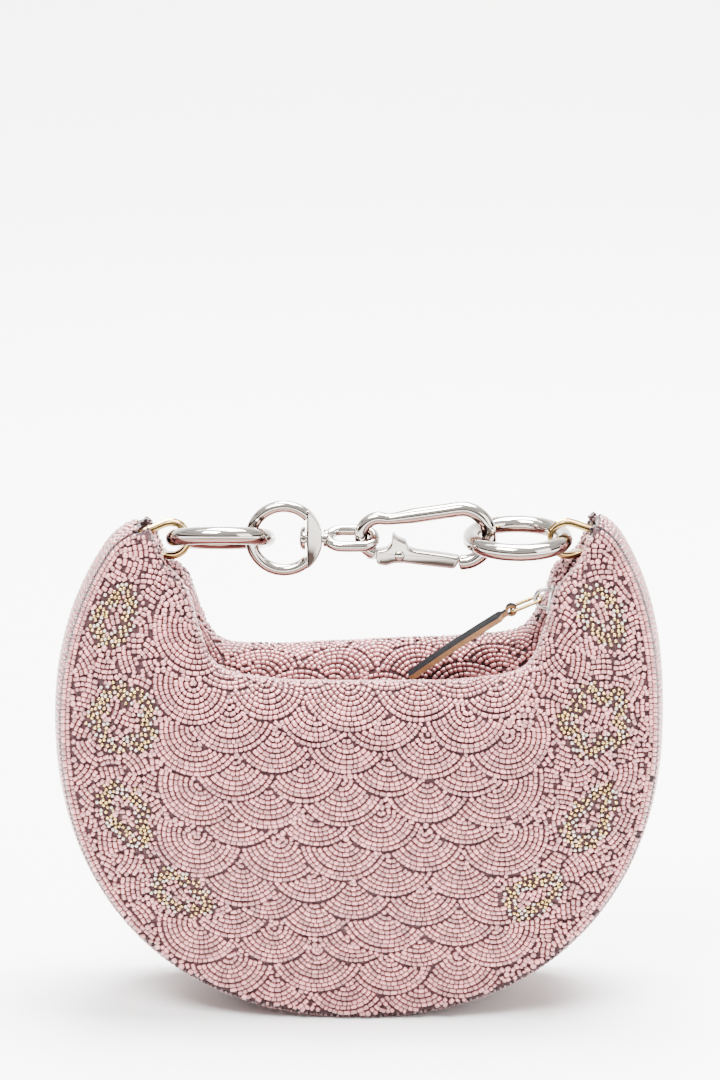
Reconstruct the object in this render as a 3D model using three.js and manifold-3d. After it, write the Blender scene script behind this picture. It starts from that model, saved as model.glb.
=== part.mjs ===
import * as THREE from 'three';
import { mergeVertices } from 'three/addons/utils/BufferGeometryUtils.js';
import Module from 'manifold-3d';

// Crescent bag of bead-covered cloth with a zip between two rolled rims and a handle of metal links.
// Millimetres, +Z up, the front faces -Y, and the origin is on the floor under the middle.

// The bag's outline from the front is a superellipse about a centre, flattened where it rests.
const outline = {
  halfWidth: 82.5,
  centreHeight: 81,
  belowCentre: 82.6,
  aboveCentre: 82.5,
  bottomFullness: 2.17,
  leftFullness: 2.1,
  rightFullness: 2.45,
};

// The notch under the handle is measured from a point between the horns, to the right of the middle
// and above the outline's centre. It leaves the width of a horn's root on both sides.
const notch = { shiftX: 3.5, raise: 49, rootWidth: 32.5 };
const notchHalfWidth = outline.halfWidth - notch.rootWidth;
const notchHeight = outline.centreHeight + notch.raise;

const bag = {
  halfDepth: 25,
  wall: 1.5,
  valleyDepth: 12,
  lipDrop: 1.2,
  crownShare: 0.128,
  backRimLift: 3.3,
  backRimSlope: 0.05,
  tipRound: 0.1,
  tipLeast: 0.5,
  gussetEnd: 0.975,
};

const zip = {
  halfWidth: 2.7,
  tapeThickness: 1,
  teethHalfWidth: 1.7,
  teethThickness: 1.2,
  endShare: 0.82,
};

const clearance = 0.3;

// One row for each section, from the bottom middle to a horn's tip. The two angles are in degrees,
// about the notch's centre for the rim and about the outline's centre for the outer edge. rimReach
// is a share of notchHalfWidth, valley of bag.valleyDepth, the other three of bag.halfDepth.
const sectionRows = [
  { rimAngle: 0, outAngle: 0, rimReach: 0.72, crest: 0.58, belly: 1.0, seam: 0.86, valley: 1.0 },
  { rimAngle: 20, outAngle: 27, rimReach: 0.765, crest: 0.58, belly: 0.99, seam: 0.86, valley: 0.98 },
  { rimAngle: 38, outAngle: 53, rimReach: 0.9, crest: 0.56, belly: 0.95, seam: 0.83, valley: 0.85 },
  { rimAngle: 52, outAngle: 76, rimReach: 1.06, crest: 0.49, belly: 0.84, seam: 0.74, valley: 0.5 },
  { rimAngle: 65, outAngle: 94, rimReach: 1.05, crest: 0.39, belly: 0.67, seam: 0.6, valley: 0.2 },
  { rimAngle: 77, outAngle: 110, rimReach: 1.04, crest: 0.3, belly: 0.48, seam: 0.44, valley: 0.08 },
  { rimAngle: 86, outAngle: 122, rimReach: 1.14, crest: 0.24, belly: 0.35, seam: 0.33, valley: 0.04 },
  { rimAngle: 94.5, outAngle: 133, rimReach: 1.2, crest: 0.21, belly: 0.28, seam: 0.26, valley: 0.02 },
];
const oddColumns = ['rimAngle', 'outAngle'];

// Steps of the faceted walls.
const sectionsPerSide = 20;
const stepsPerArc = 4;
const gussetSteps = 4;
const stripSteps = 1;

// The handle's links stand on one line between the horns. The end rings take their places from the
// horns' inner edges, each further link from the one before it, with linkPlay between two wires that
// meet, and the hook's length fills what is left.
const handle = { raise: 1.5, linkPlay: 0.5 };
const handleHeight = notchHeight + handle.raise;
const endRing = { radius: 15, wire: 4.7, leftReach: 4.6, rightReach: 6.0, leftTilt: -19.5, rightTilt: 2 };
const swivelRing = { radius: 10.6, wire: 3.2, barInner: 6.2, barOuter: 10.4, barDepth: 3.6 };
const stem = { radius: 1.3, headRadius: 3.2, headLength: 1.6, neckRadius: 2.4, neckLength: 1.4 };
const eye = { length: 15.2, width: 10.4, wire: 2.7, tilt: 20 };

// Sizes of the hook are measured along it from its small end and up from its middle line.
const hook = {
  raise: 0.7,
  wire: 4.1,
  endWire: 3.6,
  waistWire: 3.3,
  endRadius: 5.0,
  bowRadius: 7.6,
  waistAlong: 9.8,
  waistLength: 2,
  waistDip: 0.3,
  stubAlong: 5.3,
  noseReturn: 1.2,
  tongueThickness: 1.5,
  tongueHeight: 2.6,
};
const gate = {
  pivotAlong: 12.3,
  pivotHeight: -5.1,
  startGap: 0.6,
  startTop: -3.7,
  startBottom: -7.7,
  endTop: -5.6,
  endBottom: -9.0,
  endSlant: 1.8,
  endGap: 0.45,
  heel: 0.8,
  underPivot: 0.4,
  depth: 4.1,
  shoulder: 4.4,
  bossRadius: 2.6,
};
const thumb = { height: 6.4, back: 1.9, front: 2.0, frontDrop: 2.0, dip: 2.4 };
const rivet = { radius: 0.8, headRadius: 1.4, headThickness: 0.4, slack: 0.3 };
const band = { thickness: 1.1, width: 3.8, ringEnd: 5.0, postEnd: 2.9, slack: 0.8 };
const post = { radius: 0.8, reachShare: 0.4, hornShare: 0.915 };

// The slider stands on the zip in the right horn, and its puller hangs to the left.
const slider = {
  share: 0.655,
  length: 8.4,
  width: 5.0,
  thickness: 1.6,
  bridgeReach: 4.4,
  bridgeLength: 6.8,
  bridgeWire: 1.3,
};
const link = { length: 9.8, width: 6.2, corner: 1.1, wire: 1.0, droop: 23 };
const tab = { length: 33, width: 6.2, eyeWidth: 2.8, thickness: 1.6, eyeRadius: 1.7, neck: 1.2, droop: 34.5 };

// Sides and steps of the meshed metal.
const wireSides = 10;
const thinSides = 6;
const ringSteps = 32;
const roundSides = 16;
const plainExtrude = { bevelEnabled: false, curveSegments: 6 };

// Colours, roughness and metalness.
const looks = {
  beads: { color: 0xd8a3ae, roughness: 0.45, metalness: 0 },
  tape: { color: 0xb98f96, roughness: 0.9, metalness: 0 },
  steel: { color: 0xd9cfc6, roughness: 0.15, metalness: 1 },
  dullSteel: { color: 0xb8b2aa, roughness: 0.35, metalness: 1 },
  gold: { color: 0xe3bd73, roughness: 0.22, metalness: 1 },
  leather: { color: 0x1c1a1d, roughness: 0.55, metalness: 0 },
};

const radians = THREE.MathUtils.degToRad;
const wasm = await Module();
wasm.setup();
const group = new THREE.Group();

function addMesh(name, geometry, look) {
  const mesh = new THREE.Mesh(geometry, new THREE.MeshStandardMaterial(looks[look]));
  mesh.name = name;
  group.add(mesh);
  return mesh;
}

// Closed solids from three.js geometry, for joins and cuts.
function solidOf(geometry) {
  const bare = geometry.index ? geometry.toNonIndexed() : geometry.clone();
  bare.deleteAttribute('normal');
  bare.deleteAttribute('uv');
  const merged = mergeVertices(bare, 1e-4);
  return new wasm.Manifold(new wasm.Mesh({
    numProp: 3,
    vertProperties: new Float32Array(merged.attributes.position.array),
    triVerts: new Uint32Array(merged.index.array),
  }));
}

function geometryOf(solid) {
  const mesh = solid.getMesh();
  const geometry = new THREE.BufferGeometry();
  geometry.setAttribute('position', new THREE.BufferAttribute(mesh.vertProperties, 3));
  geometry.setIndex(new THREE.BufferAttribute(mesh.triVerts, 1));
  geometry.computeVertexNormals();
  return geometry;
}

function geometryFromFaces(points, faces) {
  const geometry = new THREE.BufferGeometry();
  geometry.setAttribute('position', new THREE.Float32BufferAttribute(points.flatMap((p) => p.toArray()), 3));
  geometry.setIndex(faces);
  geometry.computeVertexNormals();
  return geometry;
}

// Rows of points, each row a closed round of the same count, joined into a rod or a closed ring.
function loft(rounds, closedPath) {
  const count = rounds[0].length;
  const points = rounds.flat();
  const faces = [];
  const spans = closedPath ? rounds.length : rounds.length - 1;
  for (let i = 0; i < spans; i += 1) {
    const here = i * count;
    const next = ((i + 1) % rounds.length) * count;
    for (let j = 0; j < count; j += 1) {
      const k = (j + 1) % count;
      faces.push(here + j, here + k, next + k);
      faces.push(here + j, next + k, next + j);
    }
  }
  if (!closedPath) {
    const last = (rounds.length - 1) * count;
    for (let j = 1; j < count - 1; j += 1) {
      faces.push(0, j + 1, j);
      faces.push(last, last + j, last + j + 1);
    }
  }
  return geometryFromFaces(points, faces);
}

// A thin wall from its outer rows of points and its inner rows, closed along its four edges.
function wallBetween(outer, inner) {
  const rows = outer.length;
  const columns = outer[0].length;
  const points = [...outer.flat(), ...inner.flat()];
  const shift = rows * columns;
  const faces = [];
  const quad = (a, b, c, d) => faces.push(a, b, c, a, c, d);
  for (let i = 0; i < rows - 1; i += 1) {
    for (let j = 0; j < columns - 1; j += 1) {
      const a = i * columns + j;
      const b = a + columns;
      quad(a, b, b + 1, a + 1);
      quad(shift + a, shift + a + 1, shift + b + 1, shift + b);
    }
  }
  for (let i = 0; i < rows - 1; i += 1) {
    const a = i * columns;
    const b = a + columns;
    quad(a, shift + a, shift + b, b);
    const c = a + columns - 1;
    const d = c + columns;
    quad(c, d, shift + d, shift + c);
  }
  for (let j = 0; j < columns - 1; j += 1) {
    quad(j, j + 1, shift + j + 1, shift + j);
    const a = (rows - 1) * columns + j;
    quad(a, shift + a, shift + a + 1, a + 1);
  }
  return geometryFromFaces(points, faces);
}

// Smooth value of one column of the section table at a signed share of the way to a horn's tip.
function column(name, share) {
  const last = sectionRows.length - 1;
  const odd = oddColumns.includes(name);
  const at = (index) => {
    if (index < 0) {
      return odd ? -at(-index) : at(-index);
    }
    if (index > last) {
      return 2 * sectionRows[last][name] - sectionRows[2 * last - index][name];
    }
    return sectionRows[index][name];
  };
  const place = Math.abs(share) * last;
  const low = Math.min(Math.floor(place), last - 1);
  const t = place - low;
  const [a, b, c, d] = [at(low - 1), at(low), at(low + 1), at(low + 2)];
  const value = b + 0.5 * t * (c - a + t * (2 * a - 5 * b + 4 * c - d + t * (3 * (b - c) + d - a)));
  return odd ? Math.sign(share) * value : value;
}

// Point of the outline at an angle from straight down, positive to the right.
function outlinePoint(angle) {
  const across = Math.sin(angle);
  const up = -Math.cos(angle);
  const upperFullness = across < 0 ? outline.leftFullness : outline.rightFullness;
  const fullness = up < 0 ? outline.bottomFullness : upperFullness;
  const halfHeight = up < 0 ? outline.belowCentre : outline.aboveCentre;
  const sum = (Math.abs(across) / outline.halfWidth) ** fullness + (Math.abs(up) / halfHeight) ** fullness;
  const reach = sum ** (-1 / fullness);
  return new THREE.Vector2(across * reach, outline.centreHeight + up * reach);
}

// Everything that one section needs: rim point, direction to the outer edge and its depths.
function sectionAt(share, side) {
  const rimAngle = radians(column('rimAngle', share));
  const rimReach = notchHalfWidth * column('rimReach', share);
  const rim = new THREE.Vector2(
    notch.shiftX + rimReach * Math.sin(rimAngle),
    notchHeight - rimReach * Math.cos(rimAngle),
  );
  const fade = 1 - share ** 2;
  const lift = side > 0 ? fade * (bag.backRimLift + bag.backRimSlope * rim.x) : 0;
  rim.y += lift;
  const toEdge = outlinePoint(radians(column('outAngle', share))).sub(rim);
  const intoTip = Math.max(0, (Math.abs(share) - (1 - bag.tipRound)) / bag.tipRound);
  const closing = Math.max(bag.tipLeast, Math.sqrt(Math.max(0, 1 - intoTip ** 2)));
  const length = toEdge.length() * closing;
  const along = toEdge.normalize();
  const seam = bag.halfDepth * column('seam', share);
  return {
    rim,
    along,
    length,
    seam,
    crown: Math.min(bag.crownShare * seam, 0.3 * length),
    crest: bag.halfDepth * column('crest', share),
    belly: bag.halfDepth * column('belly', share),
    valley: bag.lipDrop + bag.valleyDepth * column('valley', share) + lift * Math.max(0, -along.y),
  };
}

function sectionPoint(section, reach, depth) {
  const x = section.rim.x + section.along.x * reach;
  const z = section.rim.y + section.along.y * reach;
  return new THREE.Vector3(x, depth, Math.max(0, z));
}

function bezierPoints(a, b, c, d, steps) {
  const curve = new THREE.CubicBezierCurve(
    new THREE.Vector2(...a),
    new THREE.Vector2(...b),
    new THREE.Vector2(...c),
    new THREE.Vector2(...d),
  );
  return curve.getPoints(steps);
}

// Where the panel's profile bulges most, and how its three arcs leave their ends.
const profile = { bellyAlong: 0.42, bellyEase: 0.26, rollEase: 0.6, seamEase: 0.22 };

// One panel's profile from the zip over the rim and the belly to the seam: reach and depth.
function panelProfile(section) {
  const { length, seam, crown, crest, belly } = section;
  const valley = Math.min(section.valley, 0.5 * length);
  const bellyReach = profile.bellyAlong * length;
  const seamReach = length - crown;
  const roll = crest - zip.halfWidth;
  const inner = bezierPoints(
    [valley, zip.halfWidth],
    [0.4 * valley, zip.halfWidth],
    [0, zip.halfWidth + (1 - profile.rollEase) * roll],
    [0, crest],
    stepsPerArc,
  );
  const upper = bezierPoints(
    [0, crest],
    [0, crest + profile.rollEase * (belly - crest)],
    [bellyReach - profile.bellyEase * length, belly],
    [bellyReach, belly],
    stepsPerArc,
  );
  const lower = bezierPoints(
    [bellyReach, belly],
    [bellyReach + profile.bellyEase * length, belly],
    [seamReach - profile.seamEase * length, seam],
    [seamReach, seam],
    stepsPerArc,
  );
  return [...inner, ...upper.slice(1), ...lower.slice(1)];
}

function shares(from, to, steps) {
  return Array.from({ length: steps + 1 }, (_, i) => from + ((to - from) * i) / steps);
}

// Rows of points moved along the surface's normal, to the side that inward names.
function offsetRows(rows, distance) {
  const within = (index, list) => list[Math.min(Math.max(index, 0), list.length - 1)];
  const at = (i, j) => within(j, within(i, rows));
  return rows.map((row, i) => row.map((point, j) => {
    const alongRows = at(i + 1, j).clone().sub(at(i - 1, j));
    const alongColumns = at(i, j + 1).clone().sub(at(i, j - 1));
    const normal = alongRows.cross(alongColumns).normalize();
    return point.clone().addScaledVector(normal, distance);
  }));
}

// Both panels' rows run from the left horn to the right one, and their columns from zip to seam.
function panelRows(side) {
  return shares(-1, 1, 2 * sectionsPerSide).map((share) => {
    const section = sectionAt(share, side);
    return panelProfile(section).map((p) => sectionPoint(section, p.x, side * p.y));
  });
}

function addPanel(name, side) {
  const outer = panelRows(side);
  const inner = offsetRows(outer, -side * bag.wall);
  const geometry = side > 0 ? wallBetween(outer, inner) : wallBetween(inner, outer);
  addMesh(name, geometry, 'beads');
  return inner;
}

// The gusset's edges stand between the panels, and its middle is crowned outwards.
function addGusset() {
  const outer = shares(-bag.gussetEnd, bag.gussetEnd, 2 * sectionsPerSide).map((share) => {
    const section = sectionAt(share, -1);
    const half = section.seam - bag.wall - clearance;
    return shares(-1, 1, gussetSteps).map((across) => {
      const reach = section.length - section.crown * across ** 2;
      return sectionPoint(section, reach, across * half);
    });
  });
  addMesh('gusset', wallBetween(offsetRows(outer, bag.wall), outer), 'beads');
}

// Strips of the zip lie between the panels' inner edges, raised by lift above them.
function zipStrip(halfWidth, lift, thickness) {
  const end = zip.endShare;
  const outer = shares(-end, end, 2 * sectionsPerSide - 4).map((share) => {
    const section = sectionAt(share, -1);
    return shares(-1, 1, stripSteps).map((across) => (
      sectionPoint(section, section.valley - lift, across * halfWidth)
    ));
  });
  return wallBetween(outer, offsetRows(outer, -thickness));
}

function addZip() {
  const tapeHalf = zip.halfWidth - clearance;
  addMesh('zip_tape', zipStrip(tapeHalf, 0, zip.tapeThickness), 'tape');
  const lift = clearance + zip.teethThickness;
  addMesh('zip_teeth', zipStrip(zip.teethHalfWidth, lift, zip.teethThickness), 'dullSteel');
}

// Round wire along a path in the XZ plane or turned out of it, with its own radius at each point.
function wireRounds(path, radii, sides, closedPath) {
  const acrossAxis = new THREE.Vector3(0, 1, 0);
  return path.map((point, i) => {
    const before = closedPath ? path.at(i - 1) : path[Math.max(i - 1, 0)];
    const after = closedPath ? path[(i + 1) % path.length] : path[Math.min(i + 1, path.length - 1)];
    const out = acrossAxis.clone().cross(after.clone().sub(before).normalize());
    return shares(0, 2 * Math.PI, sides).slice(0, -1).map((angle) => (
      point.clone().addScaledVector(out, radii[i] * Math.cos(angle))
        .addScaledVector(acrossAxis, radii[i] * Math.sin(angle))
    ));
  });
}

function inPlane(x, z) {
  return new THREE.Vector3(x, 0, z);
}

// Points round the hull of two circles in the XZ plane, anticlockwise as seen from the front.
function hullPath(from, fromRadius, to, toRadius, steps) {
  const line = to.clone().sub(from);
  const heading = Math.atan2(line.z, line.x);
  const spread = Math.acos((fromRadius - toRadius) / line.length());
  const arc = (centre, radius, start, end) => shares(start, end, steps).map((angle) => (
    centre.clone().add(inPlane(radius * Math.cos(angle), radius * Math.sin(angle)))
  ));
  return [
    ...arc(to, toRadius, heading - spread, heading + spread),
    ...arc(from, fromRadius, heading + spread, heading - spread + 2 * Math.PI),
  ];
}

// Points round a rectangle with rounded corners in the XZ plane.
function roundedLoop(length, width, corner, steps) {
  const x = length / 2 - corner;
  const z = width / 2 - corner;
  return [[x, z], [-x, z], [-x, -z], [x, -z]].flatMap(([cornerX, cornerZ], quarter) => (
    shares(quarter, quarter + 1, steps).map((turns) => {
      const angle = (turns * Math.PI) / 2;
      return inPlane(cornerX + corner * Math.cos(angle), cornerZ + corner * Math.sin(angle));
    })
  ));
}

function cylinderAlongX(radius, fromX, toX, sides) {
  const geometry = new THREE.CylinderGeometry(radius, radius, toX - fromX, sides);
  geometry.rotateZ(-Math.PI / 2);
  geometry.translate((fromX + toX) / 2, 0, handleHeight);
  return geometry;
}

function cylinderAlongY(radius, length, x, z, sides) {
  const geometry = new THREE.CylinderGeometry(radius, radius, length, sides);
  geometry.translate(x, 0, z);
  return geometry;
}

function boxBetween(low, high) {
  const size = high.clone().sub(low);
  const geometry = new THREE.BoxGeometry(size.x, size.y, size.z);
  const middle = low.clone().add(high).multiplyScalar(0.5);
  geometry.translate(middle.x, middle.y, middle.z);
  return geometry;
}

// Places along the handle, from the left ring to the right one.
const ringLine = endRing.radius - endRing.wire / 2;
const swivelLine = swivelRing.radius - swivelRing.wire / 2;
const meeting = (wireA, wireB) => (wireA + wireB) / 2 + handle.linkPlay;
const hornEdge = (side) => sectionAt(side * post.hornShare, -1).rim.x;
const leftRingX = hornEdge(-1) + endRing.leftReach + ringLine;
const rightRingX = hornEdge(1) - endRing.rightReach - ringLine;
const swivelX = leftRingX + ringLine - meeting(endRing.wire, swivelRing.wire) + swivelLine;
const barInnerX = swivelX + swivelRing.barInner;
const barOuterX = swivelX + swivelRing.barOuter;
const neckEndX = barOuterX + clearance + stem.neckLength;
const eyeCentreX = neckEndX + eye.length / 2 - eye.wire / 2;
const eyeRightX = eyeCentreX + eye.length / 2 - eye.wire / 2;
const hookX = eyeRightX - meeting(eye.wire, hook.endWire) - hook.endWire / 2;
const hookHeight = handleHeight + hook.raise;
const hookLength = rightRingX - ringLine + meeting(hook.wire, endRing.wire) + hook.wire / 2 - hookX;
const bowAlong = hookLength - hook.wire / 2 - hook.bowRadius;

function addEndRing(name, x, tilt) {
  const geometry = new THREE.TorusGeometry(ringLine, endRing.wire / 2, wireSides, ringSteps);
  const mesh = addMesh(name, geometry, 'steel');
  mesh.rotation.x = radians(tilt);
  mesh.position.set(x, 0, handleHeight);
}

// The swivel ring is a round wire whose right side is a flat bar, bored for the stem.
function addSwivelRing() {
  const far = 2 * swivelRing.radius;
  const halfDepth = swivelRing.barDepth / 2;
  const wire = new THREE.TorusGeometry(swivelLine, swivelRing.wire / 2, wireSides, ringSteps);
  wire.rotateX(Math.PI / 2);
  wire.translate(swivelX, 0, handleHeight);
  const disc = cylinderAlongY(swivelRing.radius, swivelRing.barDepth, swivelX, handleHeight, ringSteps);
  const leftPart = boxBetween(
    new THREE.Vector3(swivelX - far, -far, handleHeight - far),
    new THREE.Vector3(barInnerX + clearance, far, handleHeight + far),
  );
  const barPart = boxBetween(
    new THREE.Vector3(barInnerX, -halfDepth, handleHeight - far),
    new THREE.Vector3(barOuterX, halfDepth, handleHeight + far),
  );
  const bore = cylinderAlongX(stem.radius + clearance, barInnerX - far, barOuterX + far, roundSides);
  const ring = solidOf(wire).intersect(solidOf(leftPart));
  const bar = solidOf(disc).intersect(solidOf(barPart)).subtract(solidOf(bore));
  addMesh('swivel_ring', geometryOf(ring.add(bar)), 'steel');
}

// The eye turns on a stem through the bar, held by a head inside the ring.
function addSwivelEye() {
  const half = (eye.width - eye.wire) / 2;
  const reach = (eye.length - eye.wire) / 2 - half;
  const path = hullPath(inPlane(-reach, 0), half, inPlane(reach, 0), half, 8);
  const loop = loft(wireRounds(path, path.map(() => eye.wire / 2), wireSides, true), true);
  loop.rotateX(Math.PI / 2 + radians(eye.tilt));
  loop.translate(eyeCentreX, 0, handleHeight);
  const headEndX = barInnerX - clearance;
  const parts = [
    cylinderAlongX(stem.headRadius, headEndX - stem.headLength, headEndX, roundSides),
    cylinderAlongX(stem.radius, headEndX - stem.headLength / 2, neckEndX, roundSides),
    cylinderAlongX(stem.neckRadius, barOuterX + clearance, neckEndX, roundSides),
  ];
  const solid = parts.reduce((sum, part) => sum.add(solidOf(part)), solidOf(loop));
  addMesh('swivel_eye', geometryOf(solid), 'steel');
}

function onHook(along, height) {
  return inPlane(hookX + along, hookHeight + height);
}

// The hook's wire runs from the stub under the gate's pivot end round the small end, along the top,
// round the bow and back to the nose.
function addHookBody() {
  const endLine = hook.endRadius;
  const endAlong = hook.endWire / 2 + endLine;
  const path = [];
  const radii = [];
  const put = (along, height, wire) => {
    path.push(onHook(along, height));
    radii.push(wire / 2);
  };
  const stubAngle = Math.asin((endAlong - hook.stubAlong) / endLine);
  shares(-Math.PI / 2 - stubAngle, -1.5 * Math.PI, 9).forEach((angle) => {
    put(endAlong + endLine * Math.cos(angle), endLine * Math.sin(angle), hook.endWire);
  });
  const waistHalf = hook.waistLength / 2;
  put(hook.waistAlong - waistHalf, endLine - hook.waistDip, hook.waistWire);
  put(hook.waistAlong + waistHalf, endLine - hook.waistDip / 2, hook.waistWire);
  shares(0.3, 0.95, 3).forEach((t) => {
    const along = THREE.MathUtils.lerp(hook.waistAlong, bowAlong, t);
    put(along, THREE.MathUtils.lerp(endLine - hook.waistDip, hook.bowRadius, t), hook.wire);
  });
  shares(Math.PI * 0.46, -Math.PI / 2, 11).forEach((angle) => {
    put(bowAlong + hook.bowRadius * Math.cos(angle), hook.bowRadius * Math.sin(angle), hook.wire);
  });
  const rod = solidOf(loft(wireRounds(path, radii, wireSides, false), false));
  const tongueHalf = hook.tongueHeight / 2;
  const tongueShape = new THREE.Shape();
  tongueShape.moveTo(hook.stubAlong - hook.endWire / 2, gate.pivotHeight - tongueHalf);
  tongueShape.lineTo(gate.pivotAlong, gate.pivotHeight - tongueHalf);
  tongueShape.absarc(gate.pivotAlong, gate.pivotHeight, tongueHalf + clearance, -Math.PI / 2, Math.PI / 2);
  tongueShape.lineTo(hook.stubAlong - hook.endWire / 2, gate.pivotHeight + tongueHalf);
  const hole = new THREE.Path();
  hole.absarc(gate.pivotAlong, gate.pivotHeight, rivet.radius + rivet.slack, 0, 2 * Math.PI);
  tongueShape.holes.push(hole);
  const tongue = onHookPlate(tongueShape, hook.tongueThickness);
  addMesh('hook_body', geometryOf(rod.add(solidOf(tongue))), 'steel');
}

// A plate cut from a side view of the hook, centred on the hook's plane.
function onHookPlate(shape, thickness) {
  const geometry = new THREE.ExtrudeGeometry(shape, { ...plainExtrude, depth: thickness });
  geometry.translate(0, 0, -thickness / 2);
  geometry.rotateX(Math.PI / 2);
  geometry.translate(hookX, 0, hookHeight);
  return geometry;
}

// The gate closes from the stub to the nose, forked round the tongue, with its thumb tab on top.
function gateShape() {
  const { pivotAlong, pivotHeight, bossRadius } = gate;
  const startAlong = hook.stubAlong + gate.startGap;
  const endAlong = bowAlong - hook.noseReturn - gate.endGap;
  const tipHeight = pivotHeight + thumb.height;
  const frontHeight = tipHeight - thumb.frontDrop;
  const shape = new THREE.Shape();
  shape.moveTo(startAlong, gate.startBottom);
  shape.quadraticCurveTo(
    pivotAlong - bossRadius,
    gate.startBottom - gate.heel,
    pivotAlong,
    pivotHeight - bossRadius + gate.underPivot,
  );
  shape.lineTo(endAlong - gate.endSlant, gate.endBottom);
  shape.lineTo(endAlong, gate.endTop);
  shape.lineTo(pivotAlong + gate.shoulder, gate.startTop);
  const frontAlong = pivotAlong + thumb.front;
  shape.quadraticCurveTo(frontAlong, pivotHeight + bossRadius, frontAlong, frontHeight);
  shape.quadraticCurveTo(pivotAlong, tipHeight - thumb.dip, pivotAlong - thumb.back, tipHeight);
  shape.quadraticCurveTo(pivotAlong - thumb.back, gate.startTop, startAlong, gate.startTop);
  return shape;
}

function addGate() {
  const { pivotAlong, pivotHeight, bossRadius, depth } = gate;
  const slotHalf = hook.tongueThickness / 2 + clearance;
  const far = hookLength;
  const slotEnd = pivotAlong - bossRadius;
  const pivot = onHook(pivotAlong, pivotHeight);
  const slots = [
    boxBetween(
      onHook(0, -far).setY(-slotHalf),
      onHook(slotEnd, far).setY(slotHalf),
    ),
    boxBetween(
      onHook(0, -far).setY(-slotHalf),
      onHook(pivotAlong, pivotHeight + bossRadius).setY(slotHalf),
    ),
    cylinderAlongY(bossRadius, 2 * slotHalf, pivot.x, pivot.z, roundSides),
    cylinderAlongY(rivet.radius + rivet.slack, 2 * depth, pivot.x, pivot.z, roundSides),
  ];
  const whole = solidOf(onHookPlate(gateShape(), depth));
  const solid = slots.reduce((rest, slot) => rest.subtract(solidOf(slot)), whole);
  addMesh('hook_gate', geometryOf(solid), 'steel');
  const headAway = depth / 2 + clearance;
  const headLength = rivet.headThickness;
  const pin = cylinderAlongY(rivet.radius, 2 * (headAway + headLength / 2), pivot.x, pivot.z, roundSides);
  const heads = [-1, 1].map((side) => {
    const head = cylinderAlongY(rivet.headRadius, headLength, pivot.x, pivot.z, roundSides);
    return head.translate(0, side * (headAway + headLength / 2), 0);
  });
  const rivetSolid = heads.reduce((sum, head) => sum.add(solidOf(head)), solidOf(pin));
  addMesh('gate_rivet', geometryOf(rivetSolid), 'steel');
}

// A hidden pin across the horn's tip holds the gold band, and the band holds the end ring.
function addBand(name, postName, side, ringX) {
  const section = sectionAt(side * post.hornShare, -1);
  const postReach = post.reachShare * section.length;
  const postPoint = sectionPoint(section, postReach, 0);
  const ringPoint = inPlane(ringX, handleHeight);
  const toRing = ringPoint.clone().sub(postPoint).normalize();
  const innerRing = band.ringEnd - band.thickness;
  const innerPost = band.postEnd - band.thickness;
  const ringShift = endRing.wire / 2 + band.slack - innerRing;
  const postShift = post.radius + clearance - innerPost;
  const ringCentre = ringPoint.clone().addScaledVector(toRing, ringShift);
  const postCentre = postPoint.clone().addScaledVector(toRing, -postShift);
  const inner = hullPath(postCentre, innerPost, ringCentre, innerRing, 7);
  const outer = hullPath(postCentre, band.postEnd, ringCentre, band.ringEnd, 7);
  const half = band.width / 2;
  const rounds = inner.map((point, i) => [
    outer[i].clone().setY(-half),
    outer[i].clone().setY(half),
    point.clone().setY(half),
    point.clone().setY(-half),
  ]);
  addMesh(name, loft(rounds, true), 'gold');
  const wallGap = innerHalfDepth(section, postReach) - clearance;
  const pin = cylinderAlongY(post.radius, 2 * wallGap, postPoint.x, postPoint.z, thinSides);
  addMesh(postName, pin, 'dullSteel');
}

// Half the clear depth inside the bag at a reach from the rim.
function innerHalfDepth(section, reach) {
  const face = panelProfile(section).slice(stepsPerArc);
  const next = face.findIndex((p) => p.x > reach);
  const before = face[next - 1];
  const t = (reach - before.x) / (face[next].x - before.x);
  return THREE.MathUtils.lerp(before.y, face[next].y, t) - bag.wall;
}

// The slider has a flat body on the teeth and a tall bridge along the zip. Its own X runs up the
// zip and its own Z points out of the bag.
function addSlider() {
  const section = sectionAt(slider.share, -1);
  const seat = section.valley - 2 * clearance - zip.teethThickness;
  const centre = sectionPoint(section, seat, 0);
  const nextSection = sectionAt(slider.share + 1 / sectionsPerSide, -1);
  const nextSeat = nextSection.valley - section.valley + seat;
  const heading = sectionPoint(nextSection, nextSeat, 0).sub(centre).normalize();
  const across = new THREE.Vector3(0, 1, 0);
  const out = heading.clone().cross(across);
  const basis = new THREE.Matrix4().makeBasis(heading, across, out);
  const body = new THREE.BoxGeometry(slider.length, slider.width, slider.thickness);
  body.translate(0, 0, slider.thickness / 2);
  const half = (slider.bridgeLength - slider.bridgeWire) / 2;
  const foot = slider.thickness / 2;
  const spring = slider.thickness + slider.bridgeWire / 2;
  const top = slider.thickness + slider.bridgeReach - slider.bridgeWire / 2;
  const path = [
    inPlane(half, foot),
    ...shares(0, Math.PI, 8).map((angle) => (
      inPlane(half * Math.cos(angle), spring + (top - spring) * Math.sin(angle))
    )),
    inPlane(-half, foot),
  ];
  const bridge = loft(wireRounds(path, path.map(() => slider.bridgeWire / 2), thinSides, false), false);
  const place = (geometry) => geometry.applyMatrix4(basis).translate(centre.x, centre.y, centre.z);
  addMesh('zip_slider', geometryOf(solidOf(place(body)).add(solidOf(place(bridge)))), 'dullSteel');
  const underBridge = top - (slider.bridgeWire + link.wire) / 2 - clearance;
  return centre.clone().addScaledVector(out, underBridge);
}

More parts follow.
